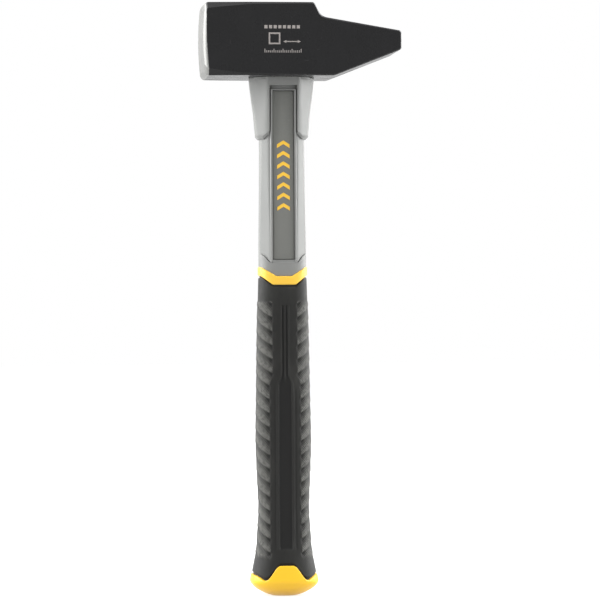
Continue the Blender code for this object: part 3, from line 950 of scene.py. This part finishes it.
def raised_shapes(name, outlines, side, base, height, edge):
    """Flat outlines of (across, up) points as thin raised shapes on a plane square to Y."""
    mesh = bmesh.new()
    for outline in outlines:
        points = [(across, side * base, up) for across, up in outline]
        face = mesh.faces.new([mesh.verts.new(point) for point in points])
        risen = bmesh.ops.extrude_face_region(mesh, geom=[face])["geom"]
        moved = [part for part in risen if isinstance(part, bmesh.types.BMVert)]
        bmesh.ops.translate(mesh, vec=(0, side * height, 0), verts=moved)
        top = next(part for part in risen if isinstance(part, bmesh.types.BMFace))
        if edge:
            bmesh.ops.bevel(mesh, geom=list(top.edges), offset=edge, segments=2, affect="EDGES")
    bmesh.ops.recalc_face_normals(mesh, faces=mesh.faces)
    data = bpy.data.meshes.new(name)
    mesh.to_mesh(data)
    mesh.free()
    return shaped(name, data, 30.0)


def bar(left, low, right, high):
    return [(left, low), (right, low), (right, high), (left, high)]


def head_mark_outlines():
    """A generic mark: a row of blocks, a square with its width between arrows, and a ruler's ticks."""
    middle_x, middle_z = MARK_MIDDLE
    left = middle_x - MARK_WIDTH / 2
    right = middle_x + MARK_WIDTH / 2
    shapes = []
    pitch = MARK_WIDTH / MARK_BLOCKS
    for block in range(MARK_BLOCKS):
        start = left + pitch * block
        shapes.append(bar(start, middle_z + 6.3 * MM, start + 0.68 * pitch, middle_z + 8.3 * MM))

    line = 0.95 * MM
    side = 7.2 * MM
    near = left + 2.6 * MM
    far = near + side
    low = middle_z - 3.4 * MM
    high = low + side
    shapes.append(bar(near, low, far, low + line))
    shapes.append(bar(near, high - line, far, high))
    shapes.append(bar(near, low + line, near + line, high - line))
    shapes.append(bar(far - line, low + line, far, high - line))

    arrow_left = far + 1.8 * MM
    arrow_right = right - 0.4 * MM
    level = low + 1.7 * MM
    head = 1.9 * MM
    shapes.append(bar(arrow_left + head, level - 0.3 * MM, arrow_right - head, level + 0.3 * MM))
    for tip, sign in ((arrow_left, 1), (arrow_right, -1)):
        base = tip + sign * head
        shapes.append([(tip, level), (base, level - 0.9 * MM), (base, level + 0.9 * MM)][::-sign])

    tick_width = 0.5 * MM
    foot = middle_z - 8.5 * MM
    for tick in range(MARK_TICKS + 1):
        start = left + (MARK_WIDTH - tick_width) * tick / MARK_TICKS
        length = 2.3 * MM if tick % 5 == 0 else 1.4 * MM
        shapes.append(bar(start, foot, start + tick_width, foot + length))
    return shapes


def build_head_mark():
    base = HEAD_HALF - 0.02 * MM
    mark = raised_shapes("head_mark", head_mark_outlines(), -1, base, MARK_THICKNESS, 0.0)
    finished(mark, "Printed ink", "forged_steel")


# ---------------------------------------------------------------- eye


def build_eye():
    """The cast resin with its meniscus, the sawn end of the core, and the washer under the head."""
    wall = grown(EYE_TOP, -CAST_GAP)
    inner = grown(CORE, CAST_GAP)
    low = HEAD_LOW + FIT_GAP
    rim = OVERALL - RESIN_SUNK
    rows = [(grown(EYE_LOW, -FIT_GAP), low), (grown(EYE_WAIST, -CAST_GAP), HEAD_MIDDLE), (wall, rim)]
    for share in np.linspace(0.08, 0.92, 9):
        sizes = tuple(outer + (core - outer) * share for outer, core in zip(wall, inner))
        rows.append((sizes, rim - RESIN_SAG * math.sin(math.pi * share) ** 0.6))
    rows += [(inner, rim - 0.1 * MM), (inner, low)]
    finished(oval_skin("cast_resin", rows), "Cast epoxy", "cast_epoxy", "eye_resin")

    edge = rounded_rows(CORE_EDGE_ROUND, 3)
    base = CORE_BOX[0].z
    top = CORE_BOX[1].z + CORE_PROUD
    rows = [(grown(CORE, -inset), base + distance) for distance, inset in edge]
    rows += [(grown(CORE, -inset), top - distance) for distance, inset in edge[::-1]]
    finished(oval_skin("core_rod", rows, loop=False), "Glass fibre", "glass_fibre", "fibre_core")

    low = GASKET_BOX[0].z
    high = GASKET_BOX[1].z + WASHER_BULGE
    bulges = WASHER_BULGE * np.sin(np.linspace(0, math.pi, 7))
    rows = [(grown(GASKET, bulge), height) for bulge, height in zip(bulges, np.linspace(low, high, 7))]
    rows += [(inner, high), (inner, low)]
    finished(oval_skin("head_washer", rows), "Washer rubber", "gasket_rubber", "eye_gasket")


# ---------------------------------------------------------------- jacket, guard and inlays


def with_bore(wide, deep, heights, bore, foot):
    """Whole rings of a sleeve: its outside rows, then a straight bore from its top down to its foot."""
    wide = np.vstack((wide, bore[0], bore[0]))
    deep = np.vstack((deep, bore[1], bore[1]))
    return rings_of(wide, deep, np.vstack((heights, heights[-1], foot)))


def jacket_size(height):
    """Half sizes of the jacket's oval at a height."""
    share = faded(height, *JACKET_TAPER)
    return tuple(low + (high - low) * share for low, high in zip(JACKET_LOW, JACKET_TOP))


def jacket_rows(across, foot, pocket):
    """Heights of the jacket's rows above its foot, and how deep the collar's groove is at each."""
    collar = along(COLLAR_LINE, across)
    start = COLLAR_ROWS[0][0] * MM
    end = COLLAR_ROWS[-1][0] * MM
    rows = [foot + (collar + start - foot) * share for share in (0.0, 0.1, 0.3, 0.5, 0.7, 0.85)]
    depths = [0.0] * len(rows)
    for rise, share in COLLAR_ROWS:
        rows.append(collar + rise * MM)
        depths.append(share * COLLAR_GROOVE)
    lowest = COLLAR_LINE[0][1] + end
    for height in (pocket[0] - POCKET_WALL, pocket[0], *mm(208.5, 210.5, 213.5, 217.5), COLLAR_SETTLE):
        share = (height - lowest) / (COLLAR_SETTLE - lowest)
        rows.append(collar + end + (COLLAR_SETTLE - collar - end) * share)
    level = [*np.arange(226.0, 311.0, 4.0) * MM, pocket[1], pocket[1] + POCKET_WALL]
    level += [FRAME_TOP[0], FRAME_TOP[0] + 0.3 * MM, FRAME_TOP[1]]
    level += [316.0 * MM, HANDLE_TOP - 0.3 * MM, HANDLE_TOP]
    rows += [np.full_like(across, height) for height in level]
    depths += [0.0] * (len(rows) - len(depths))
    return np.array(rows), np.array(depths)[:, None]


def frame_depth(wide, heights, sizes):
    """How far the frame round the inlay stands out: flat, then falling to its foot at the sides and top."""
    face = along(FRAME_FACE, heights)
    surface = np.array([oval_depth(FRAME_FOOT, size) for size in sizes])[:, None]
    foot = np.minimum(surface, face) - FRAME_SUNK
    side = np.clip((wide - FRAME_FLAT) / (FRAME_FOOT - FRAME_FLAT), 0, 1) ** 1.5
    top = np.clip((heights - FRAME_TOP[0]) / (FRAME_TOP[1] - FRAME_TOP[0]), 0, 1) ** 1.5
    return face + (foot - face) * np.maximum(side, top)


def build_jacket():
    """The shell round the core: a thin spigot below, then the faceted handle with its collar and frame."""
    pocket = (PANEL_BOX[0].z - POCKET_GAP, PANEL_BOX[1].z + POCKET_GAP)
    across, _ = quarter(JACKET_LOW, JACKET_STEPS, JACKET_COLUMNS)
    shoulder = along(RING_TOP_LINE, across) + BORE_GAP
    heights, depths = jacket_rows(across, shoulder, pocket)
    sizes = [jacket_size(height) for height in heights.mean(axis=1)]
    wide, deep = quarters(sizes, JACKET_STEPS, JACKET_COLUMNS)
    cut_back = faded(heights - along(COLLAR_LINE, wide), -0.1 * MM, 0.5 * MM)
    deep = deep + (faceted(wide, deep, *JACKET_FACET) - deep) * cut_back
    grooved = faded(wide, 5.8 * MM, 6.9 * MM) * faded(wide, 14.0 * MM, 11.5 * MM)
    wide, deep = drawn_in(wide, deep, sizes, depths * grooved)

    above = heights > along(COLLAR_LINE, wide) + 2 * HAIR
    framed = above & (heights < FRAME_TOP[1]) & (wide < FRAME_FOOT + HAIR)
    deep = np.where(framed, frame_depth(wide, heights, sizes), deep)
    sunk = (wide < POCKET_HALF + HAIR) & (heights > pocket[0] - HAIR) & (heights < pocket[1] + HAIR)
    deep = np.where(sunk, POCKET_FLOOR, deep)

    foot = np.full_like(across, SOCKET_FLOOR + FIT_GAP)
    spigot = quarter(SPIGOT, JACKET_STEPS, JACKET_COLUMNS)
    wide = np.vstack((spigot[0], spigot[0], wide))
    deep = np.vstack((spigot[1], spigot[1], deep))
    heights = np.vstack((foot, shoulder, heights))
    bore = quarter(grown(CORE, BORE_GAP), JACKET_STEPS, JACKET_COLUMNS)
    jacket = skin("moulded_jacket", with_bore(wide, deep, heights, bore, foot), sharp=28.0)
    finished(jacket, "Grey jacket", "grey_jacket", "handle_jacket")


def open_windows(piece, columns, rows, window_row):
    """Opens the guard front and back, below a row of its outside, and walls the openings."""
    mesh = bmesh.new()
    mesh.from_mesh(piece.data)
    removed = []
    for face in mesh.faces:
        centre = face.calc_center_median()
        if abs(centre.x) < WINDOW_HALF and centre.z < WINDOW_TOP - HAIR:
            removed.append(face)
    bmesh.ops.delete(mesh, geom=removed, context="FACES_ONLY")
    mesh.verts.ensure_lookup_table()

    def wall(*corners):
        mesh.faces.new([mesh.verts[row * columns + column % columns] for row, column in corners])

    edge = GUARD_COLUMNS.index(WINDOW_HALF)
    last = 2 * rows - 1
    for middle in (0, columns // 2):
        left = middle - edge
        right = middle + edge
        for row in range(window_row):
            inner = last - row
            wall((row, left), (row + 1, left), (inner - 1, left), (inner, left))
            wall((inner, right), (inner - 1, right), (row + 1, right), (row, right))
        inner = last - window_row
        for column in range(left, right):
            wall((window_row, column), (window_row, column + 1), (inner, column + 1), (inner, column))
    loose = [vert for vert in mesh.verts if not vert.link_faces]
    bmesh.ops.delete(mesh, geom=loose, context="VERTS")
    bmesh.ops.recalc_face_normals(mesh, faces=mesh.faces)
    mesh.to_mesh(piece.data)
    mesh.free()


def build_guard():
    """The flared collar under the head, open front and back, with its edges rounded by a bevel."""
    across, _ = quarter(GUARD_FLARE[0][1:], GUARD_STEPS, GUARD_COLUMNS)
    chamfer_height, chamfer_depth = GUARD_FOOT_CHAMFER
    low = along(GUARD_LOW_LINE, across)
    foot = low + chamfer_height
    heights = [low] + [foot + (WINDOW_TOP - foot) * share for share in np.linspace(0, 1, 20)]
    window_row = len(heights) - 1
    heights += [np.full_like(across, height) for height in np.linspace(WINDOW_TOP, GUARD_TOP, 6)[1:]]
    heights = np.array(heights)
    rows = len(heights)
    sizes = np.stack(swell(GUARD_FLARE, heights.mean(axis=1)), axis=1)
    wide, deep = quarters(sizes, GUARD_STEPS, GUARD_COLUMNS)
    front = along(GUARD_FRONT, heights)
    deep = least(front, deep, GUARD_FRONT_SOFTNESS)
    deep = faceted(wide, deep, (GUARD_FACET_START, front), GUARD_FACET_SLOPE, GUARD_FACET_SOFTNESS)
    cut = np.zeros_like(deep)
    cut[0] = chamfer_depth
    wide, deep = drawn_in(wide, deep, sizes, cut)

    bore = quarter(GUARD_BORE, GUARD_STEPS, GUARD_COLUMNS)
    recess = quarter(GUARD_RECESS, GUARD_STEPS, GUARD_COLUMNS)
    inner_wide = np.vstack((recess[0], recess[0], np.tile(bore[0], (rows - 2, 1))))
    inner_deep = np.vstack((recess[1], recess[1], np.tile(bore[1], (rows - 2, 1))))
    inner_heights = np.minimum(heights[::-1], HANDLE_TOP)
    inner_heights[0] = GUARD_TOP
    inner_heights[1] = HANDLE_TOP
    wide = np.vstack((wide, inner_wide))
    deep = np.vstack((deep, inner_deep))
    rings = rings_of(wide, deep, np.vstack((heights, inner_heights)))
    guard = skin("flared_guard", rings)
    open_windows(guard, rings.shape[1], rows, window_row)
    bevel = guard.modifiers.new("rounded", "BEVEL")
    bevel.width = GUARD_EDGE_ROUND
    bevel.segments = 3
    bevel.limit_method = "ANGLE"
    bevel.angle_limit = math.radians(45)
    evaluated(guard)
    shaded_by_area(guard, 50)
    finished(guard, "Grey guard", "grey_guard", "overstrike_guard")


def rounded_rectangle(half_width, half_height, radius, steps=5):
    """Points round a rectangle with rounded corners, anticlockwise from the lower right."""
    points = []
    for quarter_turn, (side, rise) in enumerate(((1, -1), (1, 1), (-1, 1), (-1, -1))):
        centre_x = side * (half_width - radius)
        centre_y = rise * (half_height - radius)
        for step in range(steps + 1):
            angle = math.radians(90) * (quarter_turn - 1 + step / steps)
            points.append((centre_x + radius * math.cos(angle), centre_y + radius * math.sin(angle)))
    return points


def build_panels(edge):
    low, high = PANEL_BOX
    middle = (low.z + high.z) / 2
    half_height = (high.z - low.z) / 2
    corner = 1.2 * MM
    face = -low.y
    edges = [(high.y - low.y, 0.0), *rounded_rows(min(edge, 0.35 * MM), 4)[::-1]]
    for name, node, side in (("inlay_front", "panel_front", -1), ("inlay_back", "panel_back", 1)):
        rings = []
        for distance, inset in edges:
            outline = rounded_rectangle(high.x - inset, half_height - inset, corner - inset)
            rings.append([(x, side * (face - distance), middle + z) for x, z in outline])
        rings = np.array(rings)
        if side > 0:
            rings = rings[:, ::-1]
        finished(skin(name, rings, loop=False, sharp=50.0), "Grey inlay", "dark_inlay", node)


def build_inlay_marks():
    """Raised yellow chevrons down the middle of each inlay, pointing to the head."""
    low, high = CHEVRON_SPAN
    face = -PANEL_BOX[0].y
    outlines = []
    for chevron in range(CHEVRON_COUNT):
        base = low + (high - low) / CHEVRON_COUNT * chevron + 0.3 * MM
        edge = [(-CHEVRON_HALF, base), (0.0, base + CHEVRON_DROP), (CHEVRON_HALF, base)]
        outlines.append(edge + [(across, up + CHEVRON_STROKE) for across, up in edge[::-1]])
    for name, side in (("inlay_marks_front", -1), ("inlay_marks_back", 1)):
        marks = raised_shapes(name, outlines, side, face - 0.05 * MM, CHEVRON_HEIGHT, 0.12 * MM)
        finished(marks, "Yellow ring", "yellow_plastic")


# ---------------------------------------------------------------- ring, grip and cap


def build_ring(shape):
    across, _ = quarter(RING, RING_STEPS)
    low = softened(RING_LOW_LINE, across, RING_SOFTNESS)
    high = softened(RING_TOP_LINE, across, RING_SOFTNESS)
    shares = np.linspace(0, 1, 9)[1:-1]
    heights, depths = sleeve_heights(low, high, rounded_rows(shape.edge_round), shares)
    sizes = [RING] * len(heights)
    wide, deep = drawn_in(*quarters(sizes, RING_STEPS), sizes, depths)
    bore = quarter(grown(SPIGOT, BORE_GAP), RING_STEPS)
    ring = skin("yellow_ring", with_bore(wide, deep, heights, bore, heights[0]))
    finished(ring, "Yellow ring", "yellow_plastic", "grip_ring")


def grip_relief(arc, flank, height, pitch):
    """How deep the grip's pattern lies below its smooth surface, and where the scales are."""
    opened = faded(height, *CHANNEL_OPENS)
    half = CHANNEL_HALF[0] + (CHANNEL_HALF[1] - CHANNEL_HALF[0]) * opened
    within = faded(height, CHANNEL_ENDS[0], CHANNEL_ENDS[0] - 2 * MM)
    within = within * faded(height, CHANNEL_ENDS[1], CHANNEL_ENDS[1] + 2 * MM)
    channel = faded(arc, half + 0.2 * MM, half - 0.25 * MM) * within
    middle_bar = faded(arc, CHANNEL_BAR + 0.1 * MM, CHANNEL_BAR - 0.2 * MM) * (1 - opened)
    relief = CHANNEL_DEPTH * channel * (1 - middle_bar)
    past, lip_half, lip_height = CHANNEL_LIP
    relief = relief - lip_height * within * faded(np.abs(arc - half - past), lip_half, 0.0)
    past, groove_half, groove_depth = OUTER_GROOVE
    outer = faded(np.abs(arc - half - past), groove_half, 0.15 * MM)
    outer = outer * faded(height, CHANNEL_OPENS[1], CHANNEL_OPENS[1] - 6 * MM)
    relief = relief + groove_depth * outer * within

    inner = SCALE_INNER[0] + (SCALE_INNER[1] - SCALE_INNER[0]) * opened
    scaled = faded(arc, inner - 0.1 * MM, inner + 0.7 * MM)
    scaled = scaled * faded(height, SCALE_ENDS[0], SCALE_ENDS[0] - 1.5 * MM)
    scaled = scaled * faded(height, SCALE_ENDS[1], SCALE_ENDS[1] + 4 * MM)
    phase = np.mod((height - SCALE_RISE * (arc - SCALE_INNER[0]) - SCALE_FIRST) / pitch, 1.0)
    rise = np.clip(1 - phase / SCALE_CREST, 0, 1) ** 1.3
    recede = np.clip((phase - SCALE_CREST) / (1 - SCALE_CREST), 0, 1) ** 1.5
    saw = np.where(phase < SCALE_CREST, rise, recede)
    strength = SCALE_DEPTH[0] + SCALE_DEPTH[1] * faded(arc, inner + 4 * MM, inner + 0.8 * MM)
    spine = faded(flank - arc, SPINE_HALF * 0.7, SPINE_HALF * 1.6)
    quiet = 0.3 + 0.7 * spine
    hollow = relief + (strength * saw * quiet - SCALE_PROUD) * scaled
    return hollow, scaled * spine


def build_grip(shape):
    """The rubber sleeve with its scales, channel and smooth ends."""
    outline, _ = quarter(swell(GRIP_SWELL, 100 * MM), GRIP_STEPS, GRIP_COLUMNS)
    foot_across = outline * GRIP_SWELL[0][1] / outline[-1]
    low = softened(CAP_TOP_LINE, foot_across, CAP_SOFTNESS) + shape.joint
    high = softened(RING_LOW_LINE, outline, RING_SOFTNESS) - shape.joint
    ends = [(0.0, GRIP_END_ROUND), (GRIP_NECK * 0.5, GRIP_END_ROUND)]
    ends += [(GRIP_NECK + distance, inset) for distance, inset in rounded_rows(GRIP_END_ROUND)]
    heights, depths = sleeve_heights(low, high, ends, np.linspace(0, 1, GRIP_ROWS)[1:-1])
    half_width, half_depth = swell(GRIP_SWELL, heights)
    sizes = np.stack((half_width.mean(axis=1), half_depth.mean(axis=1)), axis=1)
    wide, deep = quarters(sizes, GRIP_STEPS, GRIP_COLUMNS)
    wide = wide * (half_width + GRIP_PROUD) / sizes[:, :1]
    deep = deep * half_depth / sizes[:, 1:]
    lengths = np.cumsum(np.hypot(np.diff(wide, axis=1), np.diff(deep, axis=1)), axis=1)
    arc = np.hstack((np.zeros((len(wide), 1)), lengths))
    relief, scaled = grip_relief(arc, arc[:, -1:], heights, shape.scale_pitch)
    wide, deep = drawn_in(wide, deep, sizes, depths + relief)
    bore = quarter(grown(SPIGOT, BORE_GAP), GRIP_STEPS, GRIP_COLUMNS)
    blank = np.zeros((2, scaled.shape[1]))
    values = {"scales": scaled, "around": arc, "hollow": relief / MM}
    marks = {name: whole(np.vstack((value, blank))) for name, value in values.items()}
    rings = with_bore(wide, deep, heights, bore, heights[0])
    grip = skin("ribbed_grip", rings, marks=marks, sharp=75.0)
    finished(grip, "Black rubber", "black_rubber", "rubber_grip")


def build_cap(shape):
    """The butt cap: a dome round a small flat, sides up to the rubber, and a tongue front and back."""
    shares = np.linspace(0, 1, 30)
    climbed = LOWEST_DOME_STEP + (1 - LOWEST_DOME_STEP) * shares
    widening = (1 - (1 - climbed) ** BUTT_DOME_POWER) ** (1 / BUTT_DOME_POWER)
    dome_wide, dome_deep = quarters(widening[:, None] * np.array(BUTT_HALF), CAP_STEPS)
    across = dome_wide[-1]
    dome_heights = BUTT_WIDEST * shares[:, None] + np.zeros_like(across)

    high = softened(CAP_TOP_LINE, across, CAP_SOFTNESS)
    distances, insets = zip(*rounded_rows(shape.edge_round)[::-1])
    middle = np.linspace(0, 1, 14)[1:-1]
    heights = [BUTT_WIDEST + (high - distances[0] - BUTT_WIDEST) * share for share in middle]
    heights += [high - distance for distance in distances]
    depths = np.array([*[0.0] * len(middle), *insets])[:, None]
    half_width, half_depth = swell(GRIP_SWELL, np.array(heights))
    side_wide = across * np.minimum(half_width + CAP_PROUD, BUTT_HALF[0]) / BUTT_HALF[0]
    side_deep = dome_deep[-1] * np.minimum(half_depth + CAP_PROUD, BUTT_HALF[1]) / BUTT_HALF[1]
    side_wide, side_deep = drawn_in(side_wide, side_deep, [BUTT_HALF] * len(heights), depths)

    bore = quarter(grown(SPIGOT, BORE_GAP), CAP_STEPS)
    wide = np.vstack((dome_wide, side_wide))
    deep = np.vstack((dome_deep, side_deep))
    floor = np.full_like(across, SOCKET_FLOOR)
    rings = with_bore(wide, deep, np.vstack((dome_heights, heights)), bore, floor)
    finished(skin("yellow_cap", rings, loop=False, sharp=60.0), "Yellow cap", "yellow_butt", "butt_cap")


# ---------------------------------------------------------------- stage


def build_camera(stage):
    """The camera looks level past the hammer, turned a little towards the striking face."""
    forward = Vector((math.sin(stage.turn), math.cos(stage.turn), 0))
    across = Vector((math.cos(stage.turn), -math.sin(stage.turn), 0))
    up = Vector((0, 0, 1))
    right = across * math.cos(stage.roll) - up * math.sin(stage.roll)
    upward = up * math.cos(stage.roll) + across * math.sin(stage.roll)
    spot = across * stage.aside - forward * stage.distance + up * stage.height
    data = bpy.data.cameras.new("photo_camera")
    data.sensor_width = 36.0
    data.lens = stage.lens
    camera = bpy.data.objects.new("photo_camera", data)
    turned = Matrix((right, upward, -forward)).transposed()
    camera.matrix_world = Matrix.Translation(spot) @ turned.to_4x4()
    bpy.context.scene.collection.objects.link(camera)
    bpy.context.scene.camera = camera


def background_rays(tree):
    """1 for rays that see the background itself: straight, in a reflection or through glass."""
    path = place(tree, "LightPath").outputs
    mirrored = maths(tree, "MAXIMUM", path["Is Glossy Ray"], path["Is Transmission Ray"])
    return maths(tree, "MAXIMUM", path["Is Camera Ray"], mirrored)


def build_world(stage):
    world = bpy.data.worlds.new("studio")
    world.use_nodes = True
    tree = world.node_tree
    direction = place(tree, "SeparateXYZ", {0: place(tree, "TexCoord").outputs["Generated"]})
    strength = spread(tree, direction.outputs["Y"], -0.75, -0.1, stage.front_light, stage.back_light)
    shown = mixed(tree, background_rays(tree), strength, 1.0)
    tree.links.new(shown, tree.nodes["Background"].inputs["Strength"])
    tree.nodes["Background"].inputs["Color"].default_value = (1, 1, 1, 1)
    bpy.context.scene.world = world


def build_lamp(name, spot, target, size, radiance):
    """A soft rectangular lamp of a given radiance, aimed at a place."""
    data = bpy.data.lights.new(name, "AREA")
    data.shape = "RECTANGLE"
    data.size, data.size_y = size
    data.energy = radiance * math.pi * size[0] * size[1]
    lamp = bpy.data.objects.new(name, data)
    lamp.location = spot
    lamp.rotation_euler = (Vector(target) - Vector(spot)).to_track_quat("-Z", "Y").to_euler()
    lamp.visible_camera = False
    bpy.context.scene.collection.objects.link(lamp)


def build_floor(stage):
    """A pale floor that meets the white background and keeps the hammer's shadow."""
    mesh = bmesh.new()
    bmesh.ops.create_grid(mesh, x_segments=24, y_segments=24, size=FLOOR_HALF)
    data = bpy.data.meshes.new("studio_floor")
    mesh.to_mesh(data)
    mesh.free()
    floor = shaped("studio_floor", data)
    look = {"Base_Color": opaque(stage.floor_colour), "Roughness": 0.9, "Specular_IOR_Level": 0.1}
    tree, shader = new_material("Pale floor", **look)
    strength = mixed(tree, background_rays(tree), *FLOOR_GLOW)
    glow = place(tree, "Emission", {"Color": (1, 1, 1, 1), "Strength": strength})
    both = place(tree, "AddShader", {0: shader.outputs[0], 1: glow.outputs[0]})
    fed(tree, tree.nodes["Material Output"], {"Surface": both.outputs[0]})
    floor.data.materials.append(bpy.data.materials["Pale floor"])


# ---------------------------------------------------------------- operators


class PieceOperator:
    """What the hammer's operators share."""

    bl_options = {"REGISTER", "UNDO"}

    def shape(self, context):
        return context.scene.hammer_shape


class HAMMER_OT_materials(PieceOperator, bpy.types.Operator):
    """Builds the hammer's finishes"""

    bl_idname = "hammer.materials"
    bl_label = "Finishes"

    def execute(self, context):
        build_materials(context.scene.hammer_finish)
        return {"FINISHED"}


class HAMMER_OT_stage(PieceOperator, bpy.types.Operator):
    """Sets up the camera, the light and the floor"""

    bl_idname = "hammer.stage"
    bl_label = "Stage"

    def execute(self, context):
        stage = context.scene.hammer_stage
        build_camera(stage)
        build_world(stage)
        middle = OVERALL / 2
        aim = (0, 0, middle)
        build_lamp("side_lamp_left", (-1.3, 0.2, 0.9), aim, (2.2, 1.7), stage.side_light)
        build_lamp("side_lamp_right", (1.3, 0.2, 0.9), aim, (2.2, 1.7), stage.side_light * 1.08)
        build_lamp("top_lamp", (0, -0.1, 1.7), aim, (1.2, 0.8), stage.top_light)
        build_floor(stage)
        context.scene.view_settings.view_transform = "Standard"
        return {"FINISHED"}


class HAMMER_OT_head(PieceOperator, bpy.types.Operator):
    """Builds the forged head and its generic mark"""

    bl_idname = "hammer.head"
    bl_label = "Head"

    def execute(self, context):
        build_head()
        build_head_mark()
        return {"FINISHED"}


class HAMMER_OT_eye(PieceOperator, bpy.types.Operator):
    """Builds what fills the eye: the resin, the core and the washer"""

    bl_idname = "hammer.eye"
    bl_label = "Eye"

    def execute(self, context):
        build_eye()
        return {"FINISHED"}


class HAMMER_OT_jacket(PieceOperator, bpy.types.Operator):
    """Builds the jacket and the guard under the head"""

    bl_idname = "hammer.jacket"
    bl_label = "Jacket and guard"

    def execute(self, context):
        build_jacket()
        build_guard()
        return {"FINISHED"}


class HAMMER_OT_inlays(PieceOperator, bpy.types.Operator):
    """Builds the inlays and their chevrons"""

    bl_idname = "hammer.inlays"
    bl_label = "Inlays"

    def execute(self, context):
        build_panels(self.shape(context).edge_round)
        build_inlay_marks()
        return {"FINISHED"}


class HAMMER_OT_grip(PieceOperator, bpy.types.Operator):
    """Builds the ring, the rubber grip and the butt cap"""

    bl_idname = "hammer.grip"
    bl_label = "Ring, grip and cap"

    def execute(self, context):
        shape = self.shape(context)
        build_ring(shape)
        build_grip(shape)
        build_cap(shape)
        return {"FINISHED"}


OPERATORS = (
    HAMMER_OT_materials,
    HAMMER_OT_stage,
    HAMMER_OT_head,
    HAMMER_OT_eye,
    HAMMER_OT_jacket,
    HAMMER_OT_inlays,
    HAMMER_OT_grip,
)


class HAMMER_PT_pieces(bpy.types.Panel):
    """Lists the hammer's operators and settings"""

    bl_idname = "HAMMER_PT_pieces"
    bl_label = "Cross-Peen Hammer"
    bl_space_type = "VIEW_3D"
    bl_region_type = "UI"
    bl_category = "Hammer"

    def draw(self, context):
        for operator in OPERATORS:
            self.layout.operator(operator.bl_idname)
        for settings in (context.scene.hammer_finish, context.scene.hammer_shape, context.scene.hammer_stage):
            box = self.layout.box()
            for name in settings.__annotations__:
                box.prop(settings, name)


CLASSES = (HammerFinishSettings, HammerShapeSettings, HammerStageSettings, *OPERATORS, HAMMER_PT_pieces)


def register():
    for item in CLASSES:
        bpy.utils.register_class(item)
    bpy.types.Scene.hammer_finish = PointerProperty(type=HammerFinishSettings)
    bpy.types.Scene.hammer_shape = PointerProperty(type=HammerShapeSettings)
    bpy.types.Scene.hammer_stage = PointerProperty(type=HammerStageSettings)


def unregister():
    del bpy.types.Scene.hammer_stage
    del bpy.types.Scene.hammer_shape
    del bpy.types.Scene.hammer_finish
    for item in reversed(CLASSES):
        bpy.utils.unregister_class(item)


def main():
    register()
    bpy.ops.hammer.stage()
    bpy.ops.hammer.materials()
    bpy.ops.hammer.head()
    bpy.ops.hammer.eye()
    bpy.ops.hammer.jacket()
    bpy.ops.hammer.inlays()
    bpy.ops.hammer.grip()


if __name__ == "__main__":
    main()
